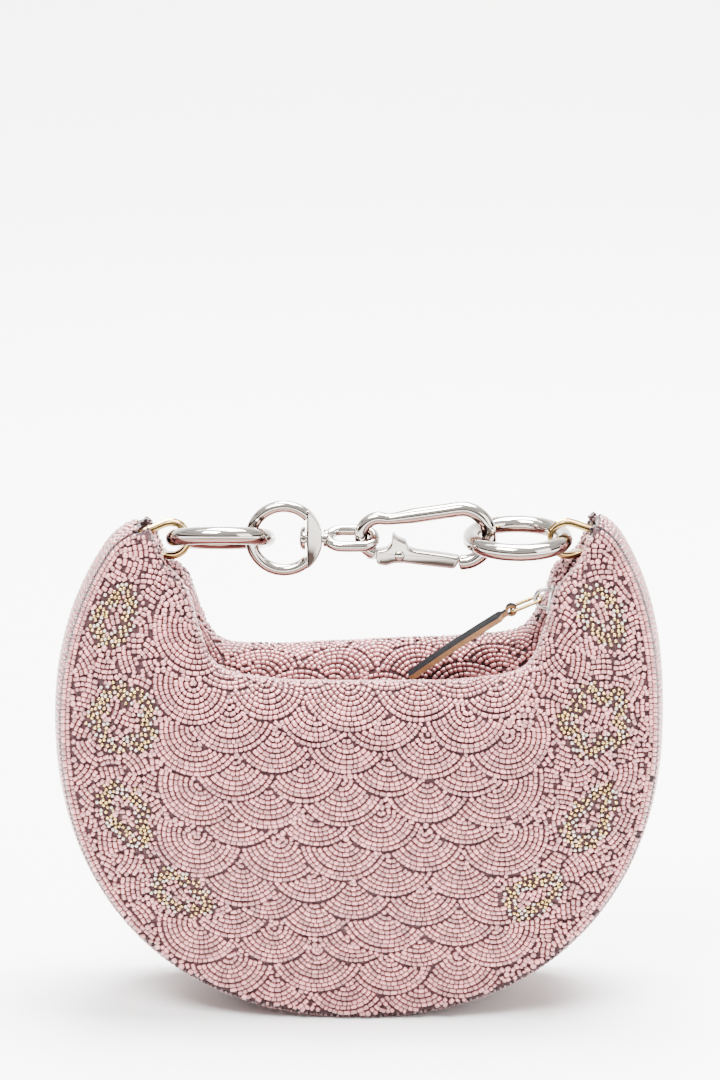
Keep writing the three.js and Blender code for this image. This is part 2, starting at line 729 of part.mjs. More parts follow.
// The link hangs in the bridge and carries the leather tab by the tab's folded eye.
function addPuller(anchor) {
  const path = roundedLoop(link.length - link.wire, link.width - link.wire, link.corner, 3);
  const loop = loft(wireRounds(path, path.map(() => link.wire / 2), thinSides, true), true);
  const fall = inPlane(-Math.cos(radians(link.droop)), -Math.sin(radians(link.droop)));
  const line = link.length - link.wire;
  const middle = anchor.clone().addScaledVector(fall, line / 2);
  loop.rotateX(Math.PI / 2);
  loop.rotateY(-radians(link.droop));
  loop.translate(middle.x, middle.y, middle.z);
  addMesh('puller_link', loop, 'gold');
  const eyeCentre = anchor.clone().addScaledVector(fall, line);
  addMesh('puller_tab', tabGeometry(eyeCentre), 'leather');
}

// The tab is one strap whose upper end is folded round the link.
function tabGeometry(eyeCentre) {
  const halfThick = tab.thickness / 2;
  const strap = new THREE.Shape();
  const leave = Math.sqrt(tab.eyeRadius ** 2 - halfThick ** 2);
  const angle = Math.atan2(halfThick, leave);
  strap.absarc(0, 0, tab.eyeRadius, angle, 2 * Math.PI - angle);
  strap.lineTo(tab.length - tab.eyeRadius, -halfThick);
  strap.lineTo(tab.length - tab.eyeRadius, halfThick);
  const hole = new THREE.Path();
  hole.absarc(0, 0, link.wire / 2 + clearance, 0, 2 * Math.PI);
  strap.holes.push(hole);
  const geometry = new THREE.ExtrudeGeometry(strap, { ...plainExtrude, depth: tab.width });
  geometry.translate(0, 0, -tab.width / 2);
  geometry.rotateX(Math.PI / 2);
  const far = tab.length;
  const cuts = [-1, 1].map((side) => boxBetween(
    new THREE.Vector3(-far, Math.min(side * tab.eyeWidth / 2, side * far), -far),
    new THREE.Vector3(tab.eyeRadius + tab.neck, Math.max(side * tab.eyeWidth / 2, side * far), far),
  ));
  const solid = cuts.reduce((rest, cut) => rest.subtract(solidOf(cut)), solidOf(geometry));
  const cut = geometryOf(solid);
  cut.rotateY(Math.PI - radians(tab.droop));
  return cut.translate(eyeCentre.x, eyeCentre.y, eyeCentre.z);
}

addPanel('front_panel', -1);
addPanel('back_panel', 1);
addGusset();
addZip();
addEndRing('end_ring_left', leftRingX, endRing.leftTilt);
addEndRing('end_ring_right', rightRingX, endRing.rightTilt);
addSwivelRing();
addSwivelEye();
addHookBody();
addGate();
addBand('gold_band_left', 'post_left', -1, leftRingX - ringLine);
addBand('gold_band_right', 'post_right', 1, rightRingX + ringLine);
addPuller(addSlider());

export default group;
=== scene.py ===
import math

import bmesh
import bpy
import numpy as np
from mathutils import Matrix, Vector
from mathutils.kdtree import KDTree


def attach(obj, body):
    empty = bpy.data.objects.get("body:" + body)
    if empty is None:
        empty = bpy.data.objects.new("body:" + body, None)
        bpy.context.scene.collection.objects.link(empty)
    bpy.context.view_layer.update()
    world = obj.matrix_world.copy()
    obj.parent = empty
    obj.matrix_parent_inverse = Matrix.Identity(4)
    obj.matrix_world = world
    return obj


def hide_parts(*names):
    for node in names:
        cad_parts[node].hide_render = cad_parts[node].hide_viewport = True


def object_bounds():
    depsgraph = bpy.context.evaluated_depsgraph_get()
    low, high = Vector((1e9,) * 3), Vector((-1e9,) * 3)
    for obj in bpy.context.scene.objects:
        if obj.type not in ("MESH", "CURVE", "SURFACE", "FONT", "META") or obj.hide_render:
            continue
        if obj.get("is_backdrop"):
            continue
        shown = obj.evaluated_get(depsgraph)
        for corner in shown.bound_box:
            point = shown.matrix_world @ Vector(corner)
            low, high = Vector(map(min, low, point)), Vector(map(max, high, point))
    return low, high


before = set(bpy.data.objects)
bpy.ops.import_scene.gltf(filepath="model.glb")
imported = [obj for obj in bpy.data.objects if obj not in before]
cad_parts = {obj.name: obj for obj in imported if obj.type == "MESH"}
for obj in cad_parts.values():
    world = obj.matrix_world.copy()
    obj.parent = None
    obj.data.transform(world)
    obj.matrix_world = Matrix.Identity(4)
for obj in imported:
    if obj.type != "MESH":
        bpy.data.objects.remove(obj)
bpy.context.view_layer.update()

# Crescent bag covered in glass beads, with a handle of metal links. Sizes are in millimetres, as in
# the CAD source, and become metres where a mesh is made. The front faces -Y.
MM = 0.001
rng = np.random.default_rng(7)

# The bag's form, repeated from the CAD source.
HALF_WIDTH, CENTRE_HEIGHT, BELOW, ABOVE = 82.5, 81.0, 82.6, 82.5
BOTTOM_FULLNESS, LEFT_FULLNESS, RIGHT_FULLNESS = 2.17, 2.1, 2.45
NOTCH_X, NOTCH_HEIGHT, NOTCH_HALF = 3.5, 130.0, 50.0
HALF_DEPTH, WALL, LIP_DROP, VALLEY_DEPTH = 25.0, 1.5, 1.2, 12.0
CROWN_SHARE, BACK_LIFT, BACK_SLOPE = 0.128, 3.3, 0.05
ZIP_HALF, CLEARANCE = 2.7, 0.3
# rimAngle, outAngle, rimReach, crest, belly, seam, valley
SECTIONS = np.array([
    (0, 0, 0.72, 0.58, 1.0, 0.86, 1.0),
    (20, 27, 0.765, 0.58, 0.99, 0.86, 0.98),
    (38, 53, 0.9, 0.56, 0.95, 0.83, 0.85),
    (52, 76, 1.06, 0.49, 0.84, 0.74, 0.5),
    (65, 94, 1.05, 0.39, 0.67, 0.6, 0.2),
    (77, 110, 1.04, 0.3, 0.48, 0.44, 0.08),
    (86, 122, 1.14, 0.24, 0.35, 0.33, 0.04),
    (94.5, 133, 1.2, 0.21, 0.28, 0.26, 0.02),
])


def column(index, share):
    values, last = SECTIONS[:, index], len(SECTIONS) - 1
    sign = -1 if index < 2 else 1

    def at(k):
        beyond = 2 * values[last] - values[np.clip(2 * last - k, 0, last)]
        inside = np.where(k < 0, sign * values[np.clip(-k, 0, last)], values[np.clip(k, 0, last)])
        return np.where(k > last, beyond, inside)

    place = np.abs(share) * last
    low = np.minimum(np.floor(place).astype(int), last - 1)
    t = place - low
    a, b, c, d = at(low - 1), at(low), at(low + 1), at(low + 2)
    value = b + 0.5 * t * (c - a + t * (2 * a - 5 * b + 4 * c - d + t * (3 * (b - c) + d - a)))
    return np.sign(share) * value if index < 2 else value


def outline_point(angle):
    across, up = np.sin(angle), -np.cos(angle)
    fullness = np.where(up < 0, BOTTOM_FULLNESS, np.where(across < 0, LEFT_FULLNESS, RIGHT_FULLNESS))
    half_height = np.where(up < 0, BELOW, ABOVE)
    total = (np.abs(across) / HALF_WIDTH) ** fullness + (np.abs(up) / half_height) ** fullness
    reach = total ** (-1 / fullness)
    return np.stack([across * reach, CENTRE_HEIGHT + up * reach], -1)


def section_at(share, side):
    """Rim point, direction to the outer edge and the depths of the sections at these shares."""
    share = np.asarray(share, float)
    angle = np.radians(column(0, share))
    reach = NOTCH_HALF * column(2, share)
    rim = np.stack([NOTCH_X + reach * np.sin(angle), NOTCH_HEIGHT - reach * np.cos(angle)], -1)
    lift = (1 - share ** 2) * (BACK_LIFT + BACK_SLOPE * rim[..., 0]) * (side > 0)
    rim[..., 1] += lift
    edge = outline_point(np.radians(column(1, share))) - rim
    length = np.linalg.norm(edge, axis=-1)
    along = edge / length[..., None]
    into = np.maximum(0, (np.abs(share) - 0.9) / 0.1)
    length = length * np.maximum(0.5, np.sqrt(np.maximum(0, 1 - into ** 2)))
    seam = HALF_DEPTH * column(5, share)
    return {
        "rim": rim, "along": along, "length": length, "seam": seam,
        "crown": np.minimum(CROWN_SHARE * seam, 0.3 * length),
        "crest": HALF_DEPTH * column(3, share), "belly": HALF_DEPTH * column(4, share),
        "valley": LIP_DROP + VALLEY_DEPTH * column(6, share) + lift * np.maximum(0, -along[..., 1]),
    }


def section_points(s, reach, depth):
    """Points at a reach from the rim and a depth, none below the floor."""
    flat = s["rim"][:, None, :] + s["along"][:, None, :] * reach[..., None]
    return np.stack([flat[..., 0], depth, np.maximum(0, flat[..., 1])], -1)


def bezier(a, b, c, d, t):
    u = 1 - t
    return u ** 3 * a + 3 * u * u * t * b + 3 * u * t * t * c + t ** 3 * d


def panel_profile(s, steps):
    """Reach and depth of a panel's profile, from the zip over the rim and the belly to the seam."""
    t = np.linspace(0, 1, steps + 1)[None, :]
    length, seam, crown, crest, belly = (
        s[k][:, None] for k in ("length", "seam", "crown", "crest", "belly"))
    valley = np.minimum(s["valley"][:, None], 0.5 * length)
    at, end, roll = 0.42 * length, length - crown, crest - ZIP_HALF
    inner = (bezier(valley, 0.4 * valley, 0, 0, t),
             bezier(ZIP_HALF, ZIP_HALF, ZIP_HALF + 0.4 * roll, crest, t))
    upper = (bezier(0, 0, at - 0.26 * length, at, t),
             bezier(crest, crest + 0.6 * (belly - crest), belly, belly, t))
    lower = (bezier(at, at + 0.26 * length, end - 0.22 * length, end, t),
             bezier(belly, belly, seam, seam, t))
    return [np.concatenate([inner[i], upper[i][:, 1:], lower[i][:, 1:]], 1) for i in (0, 1)]


def unit(v):
    return v / np.maximum(np.linalg.norm(v, axis=-1, keepdims=True), 1e-12)


def grid_normals(points, outward):
    """Unit normals of a grid of points, turned to the side that outward names at its middle."""
    n = unit(np.cross(np.gradient(points, axis=0), np.gradient(points, axis=1)))
    middle = n[n.shape[0] // 2, n.shape[1] // 2]
    return n if middle @ np.asarray(outward, float) > 0 else -n


def panel_grid(side, shares, steps):
    s = section_at(np.linspace(-1, 1, shares), side)
    reach, depth = panel_profile(s, steps)
    return s, section_points(s, reach, side * depth)


def gusset_grid(shares, steps, widen=0.0):
    """The gusset's outer surface, widened over the panels' edges where asked."""
    s = section_at(np.linspace(-0.975, 0.975, shares), -1)
    across = np.linspace(-1, 1, steps + 1)[None, :]
    half = (s["seam"] - WALL - CLEARANCE + widen)[:, None]
    return s, section_points(s, s["length"][:, None] - s["crown"][:, None] * across ** 2, across * half)


def material(name, colour, roughness=0.5, metallic=0.0, coat=0.0, coat_roughness=0.1, sheen=0.0,
             specular=0.5, variation=0.0, scale=60.0, bump=0.0, bump_scale=900.0, rough_spread=0.0,
             tint=0.0, painted_shade_colour=(0.018, 0.003, 0.004)):
    """A procedural material: noise varies its colour and roughness, and bumps its surface.
    With a tint it reads each bead's own tone, and a painted shade that turns the colour dark down in the
    gaps between beads."""
    m = bpy.data.materials.new(name)
    m.use_nodes = True
    nodes, links = m.node_tree.nodes, m.node_tree.links
    shader = nodes["Principled BSDF"]
    values = {"Roughness": roughness, "Metallic": metallic, "Coat Weight": coat,
              "Coat Roughness": coat_roughness, "Sheen Weight": sheen, "Specular IOR Level": specular,
              "Base Color": (*colour, 1)}
    for key, value in values.items():
        shader.inputs[key].default_value = value
    place = nodes.new("ShaderNodeTexCoord").outputs["Object"]

    def noise(size, detail=3.0):
        node = nodes.new("ShaderNodeTexNoise")
        node.inputs["Scale"].default_value = size
        node.inputs["Detail"].default_value = detail
        links.new(place, node.inputs["Vector"])
        return node.outputs["Fac"]

    def ranged(value, low, high):
        node = nodes.new("ShaderNodeMapRange")
        node.inputs["To Min"].default_value = low
        node.inputs["To Max"].default_value = high
        links.new(value, node.inputs["Value"])
        return node.outputs["Result"]

    amount = noise(scale)
    if tint:
        mix = nodes.new("ShaderNodeMath")
        mix.operation = "ADD"
        attribute = nodes.new("ShaderNodeAttribute")
        attribute.attribute_name = "tint"
        links.new(ranged(amount, -0.25, 0.25), mix.inputs[0])
        links.new(attribute.outputs["Fac"], mix.inputs[1])
        amount = mix.outputs[0]
    ramp = nodes.new("ShaderNodeValToRGB")
    spread = max(variation, tint)
    ramp.color_ramp.elements[0].color = (*[c * (1 - spread) for c in colour], 1)
    ramp.color_ramp.elements[1].color = (*[min(1.0, c * (1 + 0.6 * spread)) for c in colour], 1)
    ramp.color_ramp.elements[0].position = 0.15
    ramp.color_ramp.elements[1].position = 0.85
    links.new(amount, ramp.inputs["Fac"])
    tone = ramp.outputs["Color"]
    # Painted shade: a per-vertex value of the beads mixes the colour towards a near-black tone in the gaps.
    if tint:
        depth = nodes.new("ShaderNodeAttribute")
        depth.attribute_name = "shade"
        mix = nodes.new("ShaderNodeMixRGB")
        mix.inputs["Color1"].default_value = (*painted_shade_colour, 1)
        links.new(depth.outputs["Fac"], mix.inputs["Fac"])
        links.new(tone, mix.inputs["Color2"])
        tone = mix.outputs["Color"]
    links.new(tone, shader.inputs["Base Color"])
    if rough_spread:
        links.new(ranged(noise(scale * 2.3), roughness - rough_spread, roughness + rough_spread),
                  shader.inputs["Roughness"])
    if bump:
        node = nodes.new("ShaderNodeBump")
        node.inputs["Strength"].default_value = bump
        node.inputs["Distance"].default_value = 0.0004
        links.new(noise(bump_scale, 4.0), node.inputs["Height"])
        links.new(node.outputs["Normal"], shader.inputs["Normal"])
    return m


def woven(name, colour, thread, roughness=0.85):
    """Cloth with a plain weave whose threads are this wide, in millimetres."""
    m = material(name, colour, roughness=roughness, sheen=0.3, variation=0.18, scale=120)
    nodes, links = m.node_tree.nodes, m.node_tree.links
    place = nodes.new("ShaderNodeTexCoord").outputs["Object"]
    heights = []
    for direction in ("X", "Z"):
        wave = nodes.new("ShaderNodeTexWave")
        wave.bands_direction = direction
        wave.inputs["Scale"].default_value = 1 / (thread * MM) / 6.28
        links.new(place, wave.inputs["Vector"])
        heights.append(wave.outputs["Fac"])
    mix = nodes.new("ShaderNodeMath")
    mix.operation = "MULTIPLY"
    links.new(heights[0], mix.inputs[0])
    links.new(heights[1], mix.inputs[1])
    bump = nodes.new("ShaderNodeBump")
    bump.inputs["Strength"].default_value = 0.6
    bump.inputs["Distance"].default_value = 0.0003
    links.new(mix.outputs[0], bump.inputs["Height"])
    links.new(bump.outputs["Normal"], nodes["Principled BSDF"].inputs["Normal"])
    return m


def painted_reflection_metal(name, colour, painted_bag_reflection, line, **settings):
    """Polished metal whose base colour, set by which way the surface faces, is a painted reflection: a pale
    room above, darker again facing straight up, a thin dark line, and the bag below it.
    """
    m = material(name, colour, metallic=1, **settings)
    nodes, links = m.node_tree.nodes, m.node_tree.links
    split = nodes.new("ShaderNodeSeparateXYZ")
    links.new(nodes.new("ShaderNodeNewGeometry").outputs["Normal"], split.inputs["Vector"])
    height = nodes.new("ShaderNodeMapRange")
    height.inputs["From Min"].default_value = -1.0
    links.new(split.outputs["Z"], height.inputs["Value"])
    ramp = nodes.new("ShaderNodeValToRGB")
    painted_reflection_stops = ((-0.95, painted_bag_reflection), (-0.4, [c * 1.25 for c in painted_bag_reflection]), (-0.16, [c * 0.8 for c in painted_bag_reflection]),
             (-0.11, line), (-0.06, line),
             (-0.03, [c * 0.45 for c in colour]), (0.02, [c * 0.55 for c in colour]),
             (0.12, colour), (0.7, colour), (0.98, [c * 0.55 for c in colour]))
    while len(ramp.color_ramp.elements) < len(painted_reflection_stops):
        ramp.color_ramp.elements.new(0.5)
    for element, (at, tone) in zip(ramp.color_ramp.elements, painted_reflection_stops):
        element.position = (at + 1) / 2
        element.color = (*tone, 1)
    links.new(height.outputs["Result"], ramp.inputs["Fac"])
    links.new(ramp.outputs["Color"], nodes["Principled BSDF"].inputs["Base Color"])
    return m


PINK = material("glass_pink", (0.45, 0.165, 0.165), roughness=0.2, coat=1.0, coat_roughness=0.07,
                tint=0.38, scale=35)
GOLD_BEAD = material("glass_gold", (0.62, 0.42, 0.17), roughness=0.14, metallic=0.75, tint=0.3, scale=200)
SILVER_BEAD = material("glass_silver", (0.6, 0.5, 0.43), roughness=0.1, metallic=0.45, coat=0.6,
                       tint=0.15, scale=200)
# The beads' flat end caps stand for each bead's real hole, painted near black as the shade inside it.
HOLE_PAINTED_SHADE = material("bead_hole_painted_shade", (0.03, 0.006, 0.008), roughness=0.7, variation=0.2, scale=300)
CLOTH = woven("rose_cloth", (0.05, 0.012, 0.016), 0.35)
TAPE = woven("zip_tape_weave", (0.2, 0.075, 0.085), 0.5)
# Painted reflection: after the metal's own colour come the bag's colour seen below and a thin dark line,
# both painted into the base colour.
NICKEL = painted_reflection_metal("polished_nickel_painted_reflection", (0.62, 0.57, 0.52), (0.15, 0.092, 0.078), (0.02, 0.014, 0.012),
                roughness=0.08, rough_spread=0.02, scale=90, bump=0.02, bump_scale=250)
DULL = material("brushed_nickel", (0.4, 0.38, 0.36), roughness=0.28, metallic=1, variation=0.1,
                rough_spread=0.08, scale=400, bump=0.08)
GOLD = painted_reflection_metal("polished_gold_painted_reflection", (0.6, 0.4, 0.16), (0.15, 0.075, 0.03), (0.03, 0.014, 0.004),
              roughness=0.14, rough_spread=0.04, scale=90, bump=0.02, bump_scale=250)
LEATHER = material("black_leather", (0.004, 0.004, 0.005), roughness=0.7, specular=0.03, variation=0.25,
                   scale=300, bump=0.35, bump_scale=2600, rough_spread=0.08)
EDGE = material("tan_edge", (0.16, 0.07, 0.022), roughness=0.75, variation=0.3,
                scale=700, bump=0.4, bump_scale=2400)


def make(name, vertices, faces, materials, body="bag", slot=None, replaces=(), indices=None):
    """A mesh piece from vertices in millimetres, riding on a body."""
    mesh = bpy.data.meshes.new(name)
    mesh.from_pydata((np.asarray(vertices, float) * MM).tolist(), [], [tuple(map(int, f)) for f in faces])
    for m in materials:
        mesh.materials.append(m)
    if indices is not None:
        mesh.polygons.foreach_set("material_index", np.asarray(indices, np.int32))
    mesh.polygons.foreach_set("use_smooth", np.ones(len(mesh.polygons), bool))
    mesh.update()
    piece = bpy.data.objects.new(name, mesh)
    bpy.context.scene.collection.objects.link(piece)
    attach(piece, body)
    if replaces:
        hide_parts(*replaces)
    return piece


def modify(piece, kind, **settings):
    modifier = piece.modifiers.new(kind.lower(), kind)
    for key, value in settings.items():
        setattr(modifier, key, value)


def grid_faces(rows, columns, start=0, flip=False, closed_rows=False, closed_columns=False):
    faces = []
    for i in range(rows if closed_rows else rows - 1):
        for j in range(columns if closed_columns else columns - 1):
            a, b = start + i * columns + j, start + ((i + 1) % rows) * columns + j
            k = (j + 1) % columns - j
            faces.append((a, b, b + k, a + k) if not flip else (a, a + k, b + k, b))
    return faces


def rim_pairs(rows, columns):
    """Neighbouring points along the border of a grid, all the way round."""
    rim = [i * columns for i in range(rows)] + [(rows - 1) * columns + j for j in range(1, columns)]
    rim += [i * columns + columns - 1 for i in range(rows - 2, -1, -1)] + list(range(columns - 2, 0, -1))
    return zip(rim, rim[1:] + rim[:1])


def shell(name, grid, outward, thickness, materials, slot, replaces):
    """A closed wall from a grid of outer points."""
    n = grid_normals(grid, outward)
    rows, columns = grid.shape[:2]
    inner = grid - n * thickness
    inner[..., 2] = np.maximum(inner[..., 2], 0.2)
    vertices = np.concatenate([grid.reshape(-1, 3), inner.reshape(-1, 3)])
    shift = rows * columns
    up = np.cross(grid[1, 0] - grid[0, 0], grid[0, 1] - grid[0, 0])
    flip = up @ n[0, 0] < 0
    faces = grid_faces(rows, columns, 0, flip) + grid_faces(rows, columns, shift, not flip)
    for a, b in rim_pairs(rows, columns):
        faces.append((a, a + shift, b + shift, b) if flip else (a, b, b + shift, a + shift))
    return make(name, vertices, faces, materials, slot=slot, replaces=replaces)


def tube(path, radii, sides=20, closed=False, across=(0, 1, 0), caps=True):
    """Vertices and faces of a round wire along a path that lies square to across."""
    path = np.asarray(path, float)
    radii = np.broadcast_to(np.asarray(radii, float), len(path))
    if closed:
        tangent = np.roll(path, -1, 0) - np.roll(path, 1, 0)
    else:
        tangent = np.gradient(path, axis=0)
    across = np.asarray(across, float)
    out = unit(np.cross(across, unit(tangent)))
    angle = np.linspace(0, 2 * np.pi, sides, endpoint=False)
    ring = out[:, None, :] * np.cos(angle)[None, :, None] + across * np.sin(angle)[None, :, None]
    vertices = (path[:, None, :] + ring * radii[:, None, None]).reshape(-1, 3)
    faces = grid_faces(len(path), sides, flip=True, closed_rows=closed, closed_columns=True)
    if caps and not closed:
        faces.append(tuple(range(sides)))
        last = (len(path) - 1) * sides
        faces.append(tuple(range(last + sides - 1, last - 1, -1)))
    return vertices, faces


def joined(*parts):
    vertices, faces, start = [], [], 0
    for v, f in parts:
        vertices.append(np.asarray(v, float))
        faces += [tuple(i + start for i in face) for face in f]
        start += len(v)
    return np.concatenate(vertices), faces


def turned(vertices, angle, axis, move=(0, 0, 0)):
    turn = np.array(Matrix.Rotation(math.radians(angle), 3, axis))
    return np.asarray(vertices) @ turn.T + np.asarray(move, float)


def smooth_path(points, steps):
    """Points on a smooth curve that passes through these."""
    p = np.asarray(points, float)
    p = np.concatenate([[2 * p[0] - p[1]], p, [2 * p[-1] - p[-2]]])
    t = np.linspace(0, 1, steps, endpoint=False)[:, None]
    pieces = [
        b + 0.5 * t * (c - a + t * (2 * a - 5 * b + 4 * c - d + t * (3 * (b - c) + d - a)))
        for a, b, c, d in zip(p, p[1:], p[2:], p[3:])
    ]
    return np.concatenate([*pieces, p[-2:-1]])


def arc(centre, radius, start, end, steps):
    angle = np.radians(np.linspace(start, end, steps + 1))
    return np.stack([centre[0] + radius * np.cos(angle), centre[1] + radius * np.sin(angle)], -1)


def in_plane(flat, y=0.0):
    flat = np.asarray(flat, float)
    return np.stack([flat[:, 0], np.full(len(flat), y), flat[:, 1]], -1)


def plate(outline, thickness, offset=(0, 0)):
    """A slab whose side view is this outline of (x, z) points."""
    flat = np.asarray(outline, float) + np.asarray(offset, float)
    count = len(flat)
    vertices = np.concatenate([in_plane(flat, -thickness / 2), in_plane(flat, thickness / 2)])
    faces = [tuple(range(count)), tuple(range(2 * count - 1, count - 1, -1))]
    faces += [(i, i + count, (i + 1) % count + count, (i + 1) % count) for i in range(count)]
    return vertices, faces


def rounded_plate(outline, thickness, radius, offset=(0, 0), spacing=0.25):
    """A slab whose side view is this outline, with rounded edges."""
    flat = np.asarray(outline, float)
    closed = np.concatenate([flat, flat[:1]])
    steps = [max(1, int(np.linalg.norm(b - a) / spacing)) for a, b in zip(closed, closed[1:])]
    flat = np.concatenate([a + (b - a) * np.arange(n)[:, None] / n
                           for a, b, n in zip(closed, closed[1:], steps)])
    for _ in range(6):
        flat = 0.5 * flat + 0.25 * (np.roll(flat, 1, 0) + np.roll(flat, -1, 0))
    if (flat[:, 0] * np.roll(flat[:, 1], -1) - np.roll(flat[:, 0], -1) * flat[:, 1]).sum() > 0:
        flat = flat[::-1]
    tangent = unit(np.roll(flat, -1, 0) - np.roll(flat, 1, 0))
    inward = np.stack([tangent[:, 1], -tangent[:, 0]], -1)
    angle = np.radians(np.linspace(0, 90, 6))
    half = thickness / 2
    levels = [(-half + radius * (1 - math.sin(a)), radius * (1 - math.cos(a))) for a in angle[::-1]]
    levels += [(-y, inset) for y, inset in reversed(levels)]
    vertices = np.concatenate([in_plane(flat + inward * inset + np.asarray(offset, float), y)
                               for y, inset in levels])
    count, last = len(flat), len(levels) - 1
    faces = grid_faces(len(levels), count, closed_columns=True)
    faces += [tuple(range(count - 1, -1, -1)), tuple(range(last * count, (last + 1) * count))]
    return vertices, faces


def lathe(profile, sides, axis, centre):
    """A turned form: profile holds (along, radius) from end to end, along X or Y."""
    angle = np.linspace(0, 2 * np.pi, sides, endpoint=False)
    rings = []
    for along, radius in profile:
        a, b = radius * np.cos(angle), radius * np.sin(angle)
        filled = np.full(sides, along)
        rings.append(np.stack([filled, a, b] if axis == "X" else [a, filled, -b], -1))
    vertices = np.concatenate(rings) + np.asarray(centre, float)
    faces = grid_faces(len(profile), sides, flip=axis == "Y", closed_columns=True)
    last = (len(profile) - 1) * sides
    faces += [tuple(range(sides)), tuple(range(last + sides - 1, last - 1, -1))]
    return vertices, faces


def sharp_smooth(piece, angle=35):
    """Smooth shading that keeps edges sharper than this angle."""
    bm = bmesh.new()
    bm.from_mesh(piece.data)
    bmesh.ops.recalc_face_normals(bm, faces=bm.faces)
    for edge in bm.edges:
        edge.smooth = len(edge.link_faces) == 2 and edge.calc_face_angle(0) < math.radians(angle)
    bm.to_mesh(piece.data)
    bm.free()
    piece.data.polygons.foreach_set("use_smooth", np.ones(len(piece.data.polygons), bool))
    return piece


# The cloth of the three walls, which the beads are sewn on.
for node, side in (("front_panel", -1), ("back_panel", 1)):
    _, grid = panel_grid(side, 121, 12)
    shell("cloth_" + node, grid, (0, side, 0), WALL, [CLOTH], "beads", (node,))
_, grid = gusset_grid(121, 10)
shell("cloth_gusset", grid, (0, 0, -1), WALL, [CLOTH], "beads", ("gusset",))


# Distance between rows of beads, a bead's radius, the lookup cell of a surface, the gap between beads,
# and the cell of the hash that keeps beads apart.
PITCH = 1.38
BEAD_RADIUS = 0.66
CELL = 0.5
GAP = 0.05
HASH_CELL = 1.5


class Domain:
    """A grid of surface points with flat coordinates, for rows of beads at their true length."""

    def __init__(self, flat, points, normals):
        border = np.ones(flat.shape[:2], bool)
        border[1:-1, 1:-1] = False
        self.border = border.ravel()
        f, p = flat.reshape(-1, 2), points.reshape(-1, 3)
        fi, fj = (np.gradient(flat, axis=k).reshape(-1, 2) for k in (0, 1))
        pi, pj = (np.gradient(points, axis=k).reshape(-1, 3) for k in (0, 1))
        turn = np.stack([fi, fj], -1)
        det = turn[:, 0, 0] * turn[:, 1, 1] - turn[:, 0, 1] * turn[:, 1, 0]
        det = np.where(np.abs(det) < 1e-9, 1e-9, det)
        inverse = np.stack([
            np.stack([turn[:, 1, 1], -turn[:, 0, 1]], -1),
            np.stack([-turn[:, 1, 0], turn[:, 0, 0]], -1),
        ], 1) / det[:, None, None]
        self.slope = np.stack([pi, pj], -1) @ inverse
        self.flat, self.points, self.normals = f, p, normals.reshape(-1, 3)
        self.low = f.min(0) - 2
        size = np.ceil((f.max(0) + 2 - self.low) / CELL).astype(int)
        tree = KDTree(len(f))
        for i, (u, v) in enumerate(f):
            tree.insert((u, v, 0), i)
        tree.balance()
        index, away = np.zeros(size, int), np.zeros(size)
        for i in range(size[0]):
            for j in range(size[1]):
                u, v = self.low + (np.array([i, j]) + 0.5) * CELL
                _, index[i, j], away[i, j] = tree.find((u, v, 0))
        self.index, self.away, self.size = index, away, size

    def at(self, flat):
        """Surface points, normals and whether each flat point lies on the surface."""
        cell = np.floor((flat - self.low) / CELL).astype(int)
        inside = np.all((cell >= 0) & (cell < self.size), -1)
        cell = np.clip(cell, 0, self.size - 1)
        k = self.index[cell[:, 0], cell[:, 1]]
        valid = inside & (self.away[cell[:, 0], cell[:, 1]] < 0.75) & ~self.border[k]
        step = np.einsum("nij,nj->ni", self.slope[k], flat - self.flat[k])
        return self.points[k] + step, self.normals[k], valid & (np.linalg.norm(step, axis=1) < 1.3)


def stretches(chosen, cut=None):
    """Start and end of each unbroken stretch of chosen points, which a True in cut also ends."""
    start = None
    for i, here in enumerate([*chosen, False]):
        if start is not None and (not here or (cut is not None and cut[i - 1])):
            yield start, i
            start = None
        if start is None and here:
            start = i


